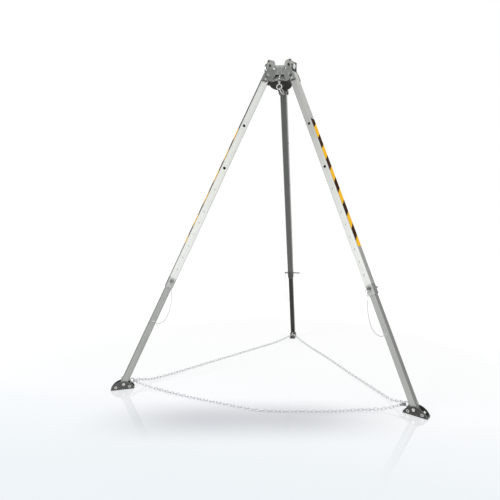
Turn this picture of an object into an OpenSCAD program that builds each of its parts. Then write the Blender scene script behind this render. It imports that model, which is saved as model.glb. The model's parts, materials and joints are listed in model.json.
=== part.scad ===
// Rescue tripod: a cast head with three hinged telescopic legs, swivel feet and a floor chain.
// The tripod stands on z = 0 with its rear leg towards +Y. All sizes are in millimetres.

/* [Stance] */
// Height at which the three leg axes would meet
apex_h = 2200; // [2100:10:2300]
// Radius of the circle where the leg axes meet the floor
stance_r = 950; // [900:10:1000]

/* [Upper tubes] */
// Outer width of the square upper tube
upper_w = 46; // [45:0.5:50]
// Wall of the upper tube
upper_wall = 2.5; // [2.2:0.1:2.8]
// Outside corner radius of the upper tube
upper_corner = 7; // [6:0.5:8]
// Distance from the apex to the lower end of the upper tube
upper_end = 1758; // [1752:1:1780]
// Height of the tube's top edge above the pivot
upper_over = 13; // [11:1:15]
// Distance of the warning tape's upper end from the apex
tape_top = 614; // [580:1:640]
// Distance of the warning tape's lower end from the apex
tape_end = 1477; // [1400:1:1530]

/* [Lower tubes] */
// Running gap between the lower tube and the inside of the upper tube
tube_gap = 1.5; // [1.4:0.1:1.8]
// Wall of the lower tube
lower_wall = 3; // [2:0.1:4]
// Outside corner radius of the lower tube
lower_corner = 8; // [6:0.5:9]
// Distance from the apex to the upper end of the lower tube
lower_top = 1040; // [1000:5:1080]
// Length of the lower tube beyond the foot pivot
lower_over = 10; // [8:1:11]

/* [Lock pins] */
// Distance from the apex to the lock pin
pin_s = 1718; // [1710:1:1726]
// Diameter of the lock pin shank
pin_d = 12; // [10:0.5:14]
// Clearance of the pin in its holes, on the diameter
pin_clear = 0.6; // [0.4:0.1:1]
// Pitch of the adjusting holes
hole_pitch = 77; // [74:1:79]
// Number of adjusting holes below the widely spaced ones
hole_count = 7; // [5:1:7]
// Length of pin that stands out beyond the far face
pin_tip = 53; // [40:1:60]
// Diameter of the pin's collar
pin_collar_d = 21; // [18:1:26]
// Diameter of the pin's grip
pin_grip_d = 15; // [12:1:17]
// Length of the pin's grip
pin_grip_l = 14; // [10:1:18]
// Mean radius of the pull ring
pull_r = 10; // [8:0.5:12]
// Wire of the pull ring
pull_wire = 2.2; // [1.8:0.1:2.6]

/* [Head] */
// Radius of the circle of leg pivots
pivot_r = 105; // [102:1:110]
// Diameter of the leg pivot bolts
pivot_d = 12; // [10:0.5:14]
// Gap between a leg and each cheek
cheek_gap = 1.4; // [1.2:0.1:1.8]
// Thickness of the cheeks
cheek_t = 8; // [7:0.5:9]
// Length of the cheek's arm along the leg, below the pivot
cheek_drop = 36; // [36:1:44]
// Depth of the base flange's underside below the pivot
base_drop = 32; // [31:1:34]
// Thickness of the base flange
base_t = 11; // [10:0.5:12]
// Radius of the base flange
base_r = 74; // [73:0.5:80]
// Height of the body's top above the pivot
body_rise = 75; // [72:1:78]
// Height of the ears' top above the pivot
ear_rise = 105; // [102:1:110]
// Distance from the axis to the flat panels between the legs
panel_d = 57; // [55:0.5:60]
// Depth of the recess in each panel
recess_depth = 9; // [8:0.5:10]
// Radius of the rope passage through the base
rope_hole_r = 22; // [16:1:24]
// Radius of the anchor eyes in the ears
anchor_r = 8; // [6:0.5:9]

/* [Sheaves] */
// Outer radius of the rope sheaves
sheave_r = 22; // [20:0.5:24]
// Width of the rope sheaves
sheave_w = 20; // [16:1:24]
// Depth of the rope groove
groove_depth = 5; // [3:0.5:6]
// Diameter of the sheave axles
axle_d = 10; // [8:0.5:12]
// Diameter of the rope keeper pins
keeper_d = 5; // [4:0.5:6]
// Gap between sheave and keeper pin
keeper_gap = 4; // [3.5:0.5:5]

/* [Eye bolt and link] */
// Wire of the eye under the head
eye_wire = 7; // [6:0.5:7]
// Mean radius of the eye under the head
eye_r = 16.5; // [16:0.5:18]
// Distance of the eye bolt from the axis
eye_off = 60; // [59:0.5:62]
// Length of the eye bolt's neck
eye_neck = 18; // [14:1:22]
// Wire of the hanging link
link_wire = 6; // [5:0.5:6]
// Outside length of the hanging link
link_l = 54; // [50:1:60]
// Outside width of the hanging link
link_w = 32; // [31:1:34]

/* [Feet] */
// Length of a foot along the leg's direction
foot_l = 124; // [120:1:132]
// Height of the foot pivot above the floor
foot_pivot_h = 31; // [30:0.5:34]
// Height of the foot's half-moon plates above the floor
foot_h = 46; // [45:0.5:50]
// Thickness of the foot bracket
foot_t = 3; // [2.6:0.1:3.6]
// Side gap between lower tube and foot bracket
foot_gap = 0.5; // [0.4:0.1:1]
// Thickness of the rubber sole
sole_t = 5; // [4:0.5:6]
// Diameter of the foot bolt
foot_bolt_d = 10; // [8:0.5:10]
// Distance of the foot's middle outwards from its pivot
foot_shift = 5; // [3:1:8]

/* [Floor chain] */
// Wire of the chain links
chain_wire = 5; // [4.5:0.1:5]
// Inside length of a chain link
chain_in = 21; // [21:0.5:23]
// Inside width of a chain link
chain_gap = 8; // [7.8:0.1:8.4]
// Distance from the apex to the chain eyes
chain_eye_s = 2336; // [2332:1:2340]
// Wire of the chain eyes
ring_wire = 5.5; // [5:0.1:5.5]
// Mean radius of the chain eyes
ring_r = 12; // [12:0.5:13]

/* [Lanyards] */
// Diameter of the pin lanyards
lanyard_d = 2.5; // [2:0.1:3]
// Distance from the apex to the lanyard anchors
anchor_s = 1975; // [1968:1:1982]

/* [Hidden] */
$fn = 48;

// Directions of the legs round the axis, and the side on which each lock pin has its grip
LEFT = 210;
RIGHT = 330;
REAR = 90;
STATIONS = [LEFT, RIGHT, REAR];
function pin_side(a) = a == RIGHT ? -1 : 1;

// Small clearance that parts surfaces which do not slide on each other
fit = 0.3;
// Overshoot of a cut beyond the surface that it opens
cut = 1;

// Leg line
tilt = atan(stance_r / apex_h);
pivot_s = pivot_r / sin(tilt);
pivot_z = apex_h - pivot_r / tan(tilt);
foot_s = (apex_h - foot_pivot_h) / cos(tilt);
foot_pivot_r = foot_s * sin(tilt);

// Feet
foot_mid_r = foot_pivot_r + foot_shift;
lower_w = upper_w - 2 * upper_wall - 2 * tube_gap;
plate_in = lower_w / 2 + foot_gap;
plate_out = plate_in + foot_t;
reach_back = foot_mid_r + foot_l / 2;
reach_front = reach_back * sin(30) + plate_out * cos(30);

// Half-moon foot plates and their holes
moon_half = foot_l / 2;
moon_rise = foot_h - sole_t;
moon_r = (moon_half * moon_half + moon_rise * moon_rise) / (2 * moon_rise);
anchor_hole_x = 36;
anchor_hole_z = 15;

// Rivet and tab of the lanyard anchor
rivet_d = 4.8;
rivet_l = 6;
rivet_head_t = 0.9;
tab_l = 14;

// Head levels and slot
cheek_in = upper_w / 2 + cheek_gap;
cheek_out = cheek_in + cheek_t;
base_z = pivot_z - base_drop;
body_z = pivot_z + body_rise;
ear_z = pivot_z + ear_rise;
cap_r = upper_w / 2 + 9;
cap_top = cap_r - 3;
bumper_x = sqrt(cap_r * cap_r - upper_w * upper_w / 4);
slot_r = pivot_r - upper_w / 2 * cos(tilt) - bumper_x * sin(tilt) - fit;
body_half = cheek_out - 1;
panel_edge = (panel_d - body_half * sin(60)) / cos(60);

// Sheave and ear places in a station's own radius and height
sheave_x = 91;
sheave_z = pivot_z + 67;
keeper_x = sheave_x + 10;
keeper_z = sheave_z + sqrt(pow(sheave_r + keeper_gap + keeper_d / 2, 2) - pow(keeper_x - sheave_x, 2));
anchor_x = 60;
anchor_z = pivot_z + 56;
anchor_reach = cheek_out + 6;
boss_d = 20;
boss_in = sheave_w / 2 + fit;
ear_x0 = 57;
ear_x1 = 107;

// Screws of the nylon pads that steady each leg between its cheeks
pad_x = pivot_r + 15;
pad_z = pivot_z - 28;
pad_screw_d = 6;

// Screw in the back of each recess
panel_screw_z = pivot_z + 8;
panel_screw_d = 6;

// Eye bolt, and the hanging link that rests at the right of the eye's lowest point
eye_shank_d = 10;
link_at = 34;
link_lean = 28;
link_turn = 56;
link_slack = 0.6;
eye_z = base_z - eye_neck - eye_r - eye_wire / 2 + 3;

// Middle of each chain eye
ring_x = lower_w / 2 + 4 + ring_r + ring_wire / 2;
ring_mid_r = chain_eye_s * sin(tilt) - ring_x * cos(tilt);
ring_mid_z = apex_h - chain_eye_s * cos(tilt) - ring_x * sin(tilt);

// Chain links
link_pitch = chain_in - fit;
link_mid_r = chain_gap / 2 + chain_wire / 2;
link_half = chain_in / 2 + chain_wire / 2;
floor_z = 7.8;
hang_high = 10;
hang_low = -26;
quick_wire = 5;
quick_l = 36;
quick_w = 20;
ring_slack = 1.6;
ring_first = chain_in / 2 - ring_wire / 2 - fit - ring_slack;
quick_first = quick_l / 2 - quick_wire - ring_wire / 2 - fit - ring_slack;
quick_next = quick_l / 2 - quick_wire - chain_wire - fit + link_half;

// Route of each chain span from eye to eye, beside the tripod's axis
ROUTE_FRONT = [
  [735, -448, 31], [700, -452, 20], [650, -459, 10], [590, -474, floor_z], [520, -495, floor_z],
  [400, -533, floor_z], [230, -570, floor_z], [60, -598, floor_z], [-20, -594, floor_z],
  [-140, -572, floor_z], [-320, -536, floor_z], [-420, -512, floor_z], [-520, -484, floor_z],
  [-610, -456, floor_z], [-680, -440, 13], [-725, -438, 25]
];
ROUTE_RIGHT = [
  [750, -413, 36], [732, -378, 23], [706, -330, 11], [640, -205, floor_z], [575, -90, floor_z],
  [510, 25, floor_z], [428, 180, floor_z], [350, 330, floor_z], [265, 480, floor_z],
  [185, 615, 9], [110, 730, 18], [50, 820, 32], [20, 858, 39]
];
ROUTE_LEFT = [
  [-750, -413, 36], [-730, -370, 22], [-702, -316, 11], [-640, -207, floor_z],
  [-578, -101, floor_z], [-519, 2, floor_z], [-451, 119, floor_z], [-365, 268, floor_z],
  [-280, 415, floor_z], [-195, 562, floor_z], [-125, 680, 10], [-65, 780, 19], [-22, 850, 30]
];

// Links at each end of a span that hang clear of the floor
end_links = 8;
// Reach of the front span, whose links lean 45 degrees on the floor
chain_reach = max([for (p = smooth_route(ROUTE_FRONT, 10)) -p[1]]) + link_mid_r * cos(45) + chain_wire / 2;
// Shift that centres the standing tripod on the origin
axis_y = (max(reach_front, chain_reach) - reach_back) / 2;

// Route of a lanyard in its leg's own frame: outwards, sideways towards the grip, up the leg
LANYARD = [
  [-18, 42, -1766], [-32, 42, -1793], [-46, 41, -1830], [-56, 39, -1870], [-61, 37, -1910],
  [-58, 34, -1943], [-48, 30, -1964], [-36, 27, -1976], [-25, 24, -1981]
];

// Places a child made in a leg's frame: x outwards, z up the leg, zero at the apex
module on_leg(a) {
  translate([0, axis_y, apex_h]) rotate([0, -tilt, a]) children();
}

// Places a child made in a station's frame: x outwards, z up from the floor
module at_station(a) {
  translate([0, axis_y, 0]) rotate([0, 0, a]) children();
}

// A round bar along the sideways direction
module cross_bar(d, from, to) {
  translate([0, from, 0]) rotate([-90, 0, 0]) cylinder(d = d, h = to - from);
}

// A hexagonal prism along the sideways direction, by its width across flats
module cross_hex(across, from, to) {
  translate([0, from, 0]) rotate([-90, 0, 0]) cylinder(d = across / cos(30), h = to - from, $fn = 6);
}

// The outline of a square tube with round corners
module tube_outline(w, corner) {
  square([w - 2 * corner, w], center = true);
  square([w, w - 2 * corner], center = true);
  for (x = [-1, 1], y = [-1, 1]) {
    translate([x * (w / 2 - corner), y * (w / 2 - corner)]) circle(r = corner);
  }
}

module square_tube(w, wall, corner, length) {
  linear_extrude(length) difference() {
    tube_outline(w, corner);
    tube_outline(w - 2 * wall, max(corner - wall, 1));
  }
}

// A closed ring of round wire in the plane of x and z
module wire_ring(mean_r, wire) {
  rotate([90, 0, 0]) rotate_extrude() translate([mean_r, 0]) circle(d = wire, $fn = 24);
}

// A long link in the plane of x and y, with its length along x
module oval_link(length, width, wire) {
  mean = (width - wire) / 2;
  straight = length - width;
  for (side = [-1, 1]) {
    translate([side * straight / 2, 0, 0]) rotate([0, 0, side * 90 - 180])
      rotate_extrude(angle = 180, $fn = 24) translate([mean, 0]) circle(d = wire, $fn = 16);
    translate([-straight / 2, side * mean, 0]) rotate([0, 90, 0])
      cylinder(d = wire, h = straight, $fn = 16);
  }
}

// Points along a smooth curve through a list of points
function between(p0, p1, p2, p3, t) = 0.5 * (2 * p1 + (p2 - p0) * t
  + (2 * p0 - 5 * p1 + 4 * p2 - p3) * t * t + (3 * p1 - p0 - 3 * p2 + p3) * t * t * t);
function smooth_route(p, steps) = let (n = len(p)) concat(
  [for (i = [0:n - 2], k = [0:steps - 1])
    between(p[max(i - 1, 0)], p[i], p[i + 1], p[min(i + 2, n - 1)], k / steps)],
  [p[n - 1]]);
function run_length(p, i) = i == 0 ? 0 : norm(p[i] - p[i - 1]);
function lengths(p) = [
  for (i = 0, s = 0; i < len(p); i = i + 1, s = i < len(p) ? s + run_length(p, i) : s) s
];
function column(s, p, c) = [for (i = [0:len(p) - 1]) [s[i], p[i][c]]];

// A chain along a route: every link is a solid of its own, turned a quarter from the last.
// It draws either the links on the floor or the end links that rise to the chain eyes
module chain(route, first_gap, last_gap, first_turn, ends = false) {
  p = smooth_route(route, 10);
  s = lengths(p);
  xs = column(s, p, 0);
  ys = column(s, p, 1);
  zs = column(s, p, 2);
  span = s[len(s) - 1] - first_gap - last_gap;
  turns = ceil(span / link_pitch);
  count = (turns + first_turn / 90) % 2 == 0 ? turns : turns + 1;
  for (i = [0:count]) if ((min(i, count - i) < end_links) == ends) {
    at = first_gap + span * i / count;
    here = [lookup(at, xs), lookup(at, ys), lookup(at, zs)];
    ahead = [lookup(at + link_half, xs), lookup(at + link_half, ys), lookup(at + link_half, zs)];
    behind = [lookup(at - link_half, xs), lookup(at - link_half, ys), lookup(at - link_half, zs)];
    dir = (ahead - behind) / norm(ahead - behind);
    lean = 45 * min(1, min(i, count - i) / end_links);
    translate([here[0], here[1] + axis_y, here[2]])
      rotate([first_turn + 90 * i + lean, -asin(dir[2]), atan2(dir[1], dir[0])])
        oval_link(chain_in + 2 * chain_wire, chain_gap + 2 * chain_wire, chain_wire);
  }
}

// The point of a chain eye's wire that a chain hangs on, by its turn round the eye from level
function hook(a, turn) = let (r = ring_mid_r - ring_r * cos(turn))
  [r * cos(a), r * sin(a), ring_mid_z + ring_r * sin(turn)];

// A round tube swept along points, closed at both ends
function unit(v) = v / norm(v);
function heading(p, i) = unit(p[min(i + 1, len(p) - 1)] - p[max(i - 1, 0)]);
function side_of(t) = unit(cross(t, [0, 1, 0]));
module swept_tube(p, d, sides) {
  n = len(p);
  rings = [for (i = [0:n - 1], k = [0:sides - 1])
    let (t = heading(p, i), u = side_of(t), v = cross(t, u))
    p[i] + d / 2 * (cos(360 * k / sides) * u + sin(360 * k / sides) * v)];
  walls = [for (i = [0:n - 2], k = [0:sides - 1])
    let (a = i * sides + k, b = i * sides + (k + 1) % sides)
    each [[a, b, b + sides], [a, b + sides, a + sides]]];
  start = [for (k = [1:sides - 2]) [0, k + 1, k]];
  finish = [for (k = [1:sides - 2]) (n - 1) * sides * [1, 1, 1] + [0, k, k + 1]];
  polyhedron(rings, concat(walls, start, finish));
}

// Head

// Points along an arc, for the round corners of an outline
function arc(x, y, r, from, to) = [for (k = [0:5])
  let (t = from + (to - from) * k / 5) [x + r * cos(t), y + r * sin(t)]];

module cheek_outline() {
  inner_edge = panel_edge - 6;
  ear_r = 12;
  arm_in = -15;
  arm_out = 22;
  arm_r = 6;
  polygon(concat(
    [[inner_edge, base_z], [pivot_r - 12, base_z], [pivot_r + 5, pivot_z], [pivot_r + 15, pivot_z + 18],
      [ear_x1, pivot_z + 42]],
    arc(ear_x1 - ear_r, ear_z - ear_r, ear_r, 0, 90),
    arc(ear_x0 + ear_r, ear_z - ear_r, ear_r, 90, 160),
    [[ear_x0 - 6, body_z], [inner_edge, body_z - 8]]
  ));
  translate([anchor_x, anchor_z]) circle(r = anchor_r + 6);
  // Arm along the leg, with round lower corners
  translate([pivot_r, pivot_z]) rotate(tilt) polygon(concat(
    arc(arm_in + arm_r, -cheek_drop + arm_r, arm_r, 180, 255),
    arc(arm_out - arm_r, -cheek_drop - 5, arm_r, 285, 360),
    [[arm_out, 8], [0, 36], [arm_in, 0]]
  ));
}

module cheek(side) {
  far = side > 0 ? cheek_out : -cheek_in;
  translate([0, far, 0]) rotate([90, 0, 0]) linear_extrude(cheek_t) cheek_outline();
  inner = side > 0 ? boss_in : -cheek_in - cut;
  translate([sheave_x, 0, sheave_z]) cross_bar(boss_d, inner, inner + cheek_in - boss_in + cut);
}

module body_outline() {
  polygon([for (a = STATIONS, p = [
      [panel_edge, -body_half], [slot_r, -body_half], [slot_r, body_half], [panel_edge, body_half]
    ]) [p[0] * cos(a) - p[1] * sin(a), p[0] * sin(a) + p[1] * cos(a)]]);
}

module panel_recess() {
  top_half = 27;
  foot_half = 43;
  low = base_z + base_t;
  high = pivot_z + 14;
  translate([0, -panel_d + recess_depth, 0]) rotate([90, 0, 0]) linear_extrude(panel_d)
    polygon([[-foot_half, low], [foot_half, low], [top_half + 6, high - 10], [top_half, high],
      [-top_half, high], [-top_half - 6, high - 10]]);
}

module head_casting() color("gray") {
  cavity_r = 36;
  lobe_r = slot_r - 6;
  lobe_w = 28;
  mouth_w = 47;
  mouth_rise = 22;
  floor_top = base_z + 14;
  difference() {
    union() {
      translate([0, axis_y, base_z]) linear_extrude(body_z - base_z) body_outline();
      translate([0, axis_y, base_z]) cylinder(r = base_r, h = base_t);
      for (a = STATIONS) at_station(a) for (side = [-1, 1]) cheek(side);
    }
    translate([0, axis_y, floor_top]) cylinder(r = cavity_r, h = body_z);
    translate([0, axis_y, base_z - cut]) cylinder(r = rope_hole_r, h = body_z);
    for (a = STATIONS) {
      at_station(a) {
        // Leg slot
        translate([slot_r, -cheek_in, base_z - cut]) cube([base_r, 2 * cheek_in, base_t + 2 * cut]);
        // Hollow behind the slot wall, open at the top
        translate([0, -lobe_w / 2, floor_top]) cube([lobe_r, lobe_w, body_z]);
        translate([0, -mouth_w / 2, pivot_z + mouth_rise]) cube([lobe_r, mouth_w, body_z]);
        // Room for the sheave
        translate([sheave_x, 0, sheave_z]) cross_bar(2 * sheave_r + 6, -boss_in, boss_in);
        // Bores
        translate([pivot_r, 0, pivot_z]) cross_bar(pivot_d, -cheek_out - cut, cheek_out + cut);
        translate([sheave_x, 0, sheave_z]) cross_bar(axle_d, -cheek_out - cut, cheek_out + cut);
        translate([keeper_x, 0, keeper_z]) cross_bar(keeper_d, -cheek_out - cut, cheek_out + cut);
        translate([anchor_x, 0, anchor_z]) cross_bar(2 * anchor_r, -anchor_reach, anchor_reach);
        translate([pad_x, 0, pad_z]) cross_bar(pad_screw_d, -cheek_out - cut, cheek_out + cut);
      }
      rotate_about_axis(a + 60 + 90) {
        panel_recess();
        translate([0, 0, panel_screw_z]) cross_bar(panel_screw_d, -panel_d, -panel_d + recess_depth + 8);
      }
    }
    translate([0, axis_y - eye_off, base_z - cut]) cylinder(d = eye_shank_d, h = base_t + 2 * cut);
  }
}

// Turns a child made for the front panel to another panel
module rotate_about_axis(a) {
  translate([0, axis_y, 0]) rotate([0, 0, a]) children();
}

module pivot_bolts() color("silver") {
  head_h = 7;
  washer_t = 1.5;
  for (a = STATIONS) at_station(a) translate([pivot_r, 0, pivot_z]) {
    side = pin_side(a);
    cross_bar(pivot_d, -cheek_out - 14, cheek_out + washer_t);
    cross_bar(pivot_d * 2, cheek_out, cheek_out + washer_t);
    cross_bar(pivot_d * 2, -cheek_out - washer_t, -cheek_out);
    cross_hex(pivot_d * 1.5, cheek_out + washer_t, cheek_out + washer_t + head_h);
    cross_hex(pivot_d * 1.5, -cheek_out - washer_t - pivot_d * 0.8, -cheek_out - washer_t);
  }
}

module pivot_washers() color("white") {
  washer_t = cheek_gap - fit;
  for (a = STATIONS) at_station(a) translate([pivot_r, 0, pivot_z]) for (side = [-1, 1]) {
    from = side > 0 ? cheek_in - washer_t : -cheek_in;
    difference() {
      cross_bar(pivot_d + 12, from, from + washer_t);
      cross_bar(pivot_d + 2 * fit, from - cut, from + washer_t + cut);
    }
  }
}

module cheek_pads() color("white") {
  pad_t = cheek_gap - fit;
  for (a = STATIONS) at_station(a) translate([pad_x, 0, pad_z]) for (side = [-1, 1]) {
    from = side > 0 ? cheek_in - pad_t : -cheek_in;
    cross_bar(13, from, from + pad_t);
  }
}

module cheek_screws() color("silver") {
  head_t = 3.5;
  for (a = STATIONS) at_station(a) translate([pad_x, 0, pad_z]) for (side = [-1, 1]) {
    cross_bar(pad_screw_d, side > 0 ? cheek_in : -cheek_out, side > 0 ? cheek_out : -cheek_in);
    difference() {
      cross_bar(11, side > 0 ? cheek_out : -cheek_out - head_t, side > 0 ? cheek_out + head_t : -cheek_out);
      cross_hex(5, side > 0 ? cheek_out + 1 : -cheek_out - head_t - cut,
        side > 0 ? cheek_out + head_t + cut : -cheek_out - 1);
    }
  }
}

module panel_screws() color("silver") {
  face = panel_d - recess_depth;
  for (a = STATIONS) rotate_about_axis(a + 60 + 90) translate([0, 0, panel_screw_z]) {
    cross_bar(panel_screw_d, -face, -face + 8);
    cross_bar(11, -face - 3, -face);
  }
}

module sheave_axles() color("silver") {
  head_t = 4;
  for (a = STATIONS) at_station(a) translate([sheave_x, 0, sheave_z]) {
    cross_bar(axle_d, -cheek_out - 10, cheek_out);
    cross_bar(axle_d * 1.5, cheek_out, cheek_out + head_t);
    cross_hex(axle_d * 1.5, -cheek_out - 8, -cheek_out);
  }
}

module keeper_pins() color("black") {
  for (a = STATIONS) at_station(a) translate([keeper_x, 0, keeper_z]) {
    cross_bar(keeper_d, -cheek_out, cheek_out);
    cross_bar(keeper_d + 5, cheek_out, cheek_out + 4);
    cross_bar(keeper_d + 5, -cheek_out - 4, -cheek_out);
  }
}

module sheave(a) color("lightgray") {
  hub_r = axle_d / 2 + fit;
  half = sheave_w / 2;
  web = 3;
  floor_r = sheave_r - groove_depth;
  at_station(a) translate([sheave_x, 0, sheave_z]) rotate([90, 0, 0]) rotate_extrude()
    polygon([
      [hub_r, -half], [hub_r + 4, -half], [hub_r + 5.5, -half + web], [floor_r - 4, -half + web],
      [floor_r - 2, -half], [sheave_r, -half], [sheave_r, -half + 2], [floor_r, -3], [floor_r, 3],
      [sheave_r, half - 2], [sheave_r, half], [floor_r - 2, half], [floor_r - 4, half - web],
      [hub_r + 5.5, half - web], [hub_r + 4, half], [hub_r, half]
    ]);
}

module eye_bolt() color("silver") {
  nut_h = 8;
  translate([0, axis_y - eye_off, 0]) {
    translate([0, 0, eye_z]) wire_ring(eye_r, eye_wire);
    translate([0, 0, eye_z + eye_r]) cylinder(d = eye_shank_d, h = base_z + base_t + nut_h + 3 - eye_z - eye_r);
    translate([0, 0, base_z - 4]) cylinder(d = eye_shank_d * 2, h = 4);
    translate([0, 0, base_z + base_t]) cylinder(d = 17 / cos(30), h = nut_h, $fn = 6);
  }
}

module hung() {
  translate([eye_r * sin(link_at), axis_y - eye_off, eye_z - eye_r * cos(link_at)])
    rotate([0, -link_lean, 0])
      translate([0, 0, -(link_l / 2 - link_wire - eye_wire / 2 - fit - link_slack)])
        rotate([0, 90, 0]) rotate([90 - link_turn, 0, 0]) children();
}

module hanging_link() color("silver") {
  hung() oval_link(link_l, link_w, link_wire);
}

module hanging_link_sleeve() color("dimgray") {
  sleeve_l = 16;
  hung() translate([-sleeve_l / 2, (link_w - link_wire) / 2, 0]) rotate([0, 90, 0]) difference() {
    cylinder(d = 11 / cos(30), h = sleeve_l, $fn = 6);
    translate([0, 0, -cut]) cylinder(d = link_wire + 0.2, h = sleeve_l + 2 * cut);
  }
}

// Upper legs

module upper_tube(a) color("lightgray") {
  on_leg(a) difference() {
    translate([0, 0, -upper_end]) square_tube(upper_w, upper_wall, upper_corner,
      upper_end - pivot_s + upper_over);
    translate([0, 0, -pivot_s]) cross_bar(pivot_d + 2 * fit, -upper_w, upper_w);
    for (k = [0:hole_count - 1]) {
      translate([0, 0, -pin_s + k * hole_pitch]) cross_bar(pin_d + pin_clear, -upper_w, upper_w);
    }
    for (k = [hole_count + 1:2:hole_count + 7]) if (k != hole_count + 5) {
      translate([0, 0, -pin_s + k * hole_pitch]) cross_bar(pin_d + pin_clear, -upper_w, upper_w);
    }
  }
}

module top_cap(a) color("black") {
  plug_l = 9;
  on_leg(a) translate([0, 0, -pivot_s]) {
    intersection() {
      translate([0, 0, upper_over]) linear_extrude(cap_top - upper_over) tube_outline(upper_w, upper_corner);
      cross_bar(2 * cap_r, -upper_w, upper_w);
    }
    translate([0, 0, upper_over - plug_l + 3]) linear_extrude(plug_l - 3)
      tube_outline(upper_w - 2 * upper_wall - 2 * fit, upper_corner - upper_wall);
  }
}

// The tape covers the outward face and the outer share of its two rounded corners
module hazard_tape(a) color("gold") {
  tape_t = 0.4;
  corner_play = 1;
  corner_share = 0.3;
  on_leg(a) translate([0, 0, -tape_end]) linear_extrude(tape_end - tape_top) intersection() {
    difference() {
      tube_outline(upper_w + 2 * tape_t, upper_corner + tape_t);
      tube_outline(upper_w, upper_corner - corner_play);
    }
    translate([upper_w / 2 - corner_share * upper_corner, -upper_w]) square([upper_w, 2 * upper_w]);
  }
}

module guide_pads(a) color("white") {
  pad_t = tube_gap - fit;
  pad_l = 24;
  pad_w = lower_w - 2 * lower_corner;
  inside = upper_w / 2 - upper_wall;
  on_leg(a) for (side = [-1, 1]) {
    translate([side > 0 ? inside - pad_t : -inside, -pad_w / 2, -upper_end]) cube([pad_t, pad_w, pad_l]);
    // Lip over the end of the tube
    translate([side > 0 ? inside - pad_t : -upper_w / 2 + 1, -pad_w / 2, -upper_end - 2])
      cube([pad_t + upper_wall - 1, pad_w, 2]);
  }
}

// Lower legs

module lower_tube(a) color("lightgray") {
  on_leg(a) difference() {
    translate([0, 0, -foot_s - lower_over]) square_tube(lower_w, lower_wall, lower_corner,
      foot_s + lower_over - lower_top);
    translate([0, 0, -pin_s]) cross_bar(pin_d + pin_clear, -upper_w, upper_w);
    translate([0, 0, -foot_s]) cross_bar(foot_bolt_d + 2 * fit, -upper_w, upper_w);
    translate([-upper_w, 0, -chain_eye_s]) rotate([0, 90, 0]) cylinder(d = 8, h = 2 * upper_w);
    translate([0, 0, -anchor_s]) cross_bar(rivet_d, pin_side(a) > 0 ? 0 : -upper_w,
      pin_side(a) > 0 ? upper_w : 0);
  }
}

module end_plug(a) color("black") {
  flange_w = upper_w - 2 * upper_wall - 2 * fit;
  flange_t = 10;
  plug_l = 16;
  inner_w = lower_w - 2 * lower_wall;
  on_leg(a) {
    translate([0, 0, -lower_top]) linear_extrude(flange_t) tube_outline(flange_w, lower_corner);
    translate([0, 0, -lower_top - plug_l]) linear_extrude(plug_l)
      tube_outline(inner_w - fit, lower_corner - lower_wall);
  }
}

module chain_eye(a) color("silver") {
  bolt_d = 8;
  nut_t = 6.5;
  on_leg(a) translate([0, 0, -chain_eye_s]) {
    translate([-ring_x, 0, 0]) wire_ring(ring_r, ring_wire);
    translate([-ring_x + ring_r, 0, 0]) rotate([0, 90, 0])
      cylinder(d = bolt_d, h = ring_x - ring_r + lower_w / 2 + nut_t + 2);
    translate([-lower_w / 2 - 3, 0, 0]) rotate([0, 90, 0]) cylinder(d = bolt_d * 2, h = 3);
    translate([lower_w / 2, 0, 0]) rotate([0, 90, 0]) cylinder(d = bolt_d * 2, h = 1.2);
    translate([lower_w / 2 + 1.2, 0, 0]) rotate([0, 90, 0]) cylinder(d = 13 / cos(30), h = nut_t - 1.2, $fn = 6);
  }
}

module lanyard_anchor(a) color("silver") {
  side = pin_side(a);
  on_leg(a) mirror([0, side > 0 ? 0 : 1, 0]) translate([0, lower_w / 2, -anchor_s]) {
    cross_bar(rivet_d, -rivet_l, rivet_head_t);
    cross_bar(11, 0, rivet_head_t);
    translate([-tab_l, 0, -3]) cube([tab_l, rivet_head_t, 6]);
  }
}

module lock_pin(a) color("dimgray") {
  side = pin_side(a);
  collar_t = 5;
  collar_y = upper_w / 2 + fit;
  grip_y = collar_y + collar_t;
  lug_y = grip_y + pin_grip_l;
  lug_r = 6;
  lug_t = 4;
  eye_drop = 2.5;
  on_leg(a) mirror([0, side > 0 ? 0 : 1, 0]) translate([0, 0, -pin_s]) {
    cross_bar(pin_d, -upper_w / 2 - pin_tip, grip_y);
    translate([0, -upper_w / 2 - pin_tip, 0]) rotate([90, 0, 0]) cylinder(d1 = pin_d, d2 = pin_d - 4, h = 3);
    cross_bar(pin_collar_d, collar_y, grip_y);
    cross_bar(pin_grip_d, grip_y, lug_y);
    // Lug and pull ring hang plumb
    rotate([0, tilt, 0]) {
      difference() {
        union() {
          translate([-lug_t / 2, lug_y + lug_r, 0]) rotate([0, 90, 0]) cylinder(r = lug_r, h = lug_t);
          translate([-lug_t / 2, lug_y, -lug_r]) cube([lug_t, lug_r, 2 * lug_r]);
        }
        translate([-lug_t, lug_y + lug_r, -eye_drop]) rotate([0, 90, 0]) cylinder(d = 3.6, h = 2 * lug_t);
      }
      translate([0, lug_y + lug_r, -eye_drop - pull_r]) wire_ring(pull_r, pull_wire);
    }
  }
}

// A lanyard runs from the bottom of the pull ring to the anchor's tab
module lanyard(a) color("whitesmoke") {
  side = pin_side(a);
  ring_y = upper_w / 2 + fit + 5 + pin_grip_l + 6;
  drop = 2.5 + 2 * pull_r + pull_wire / 2 + fit;
  start = [-drop * sin(tilt), ring_y, -pin_s - drop * cos(tilt)];
  lead = [-(drop + 8) * sin(tilt), ring_y - 1, -pin_s - (drop + 8) * cos(tilt)];
  finish = [-tab_l - fit, lower_w / 2 + lanyard_d / 2 + 0.1, -anchor_s];
  lead_out = finish + [-6, 1, -2];
  route = smooth_route(concat([start, lead], LANYARD, [lead_out, finish]), 4);
  on_leg(a) mirror([0, side > 0 ? 0 : 1, 0]) swept_tube(route, lanyard_d, 8);
}

// Feet

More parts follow.
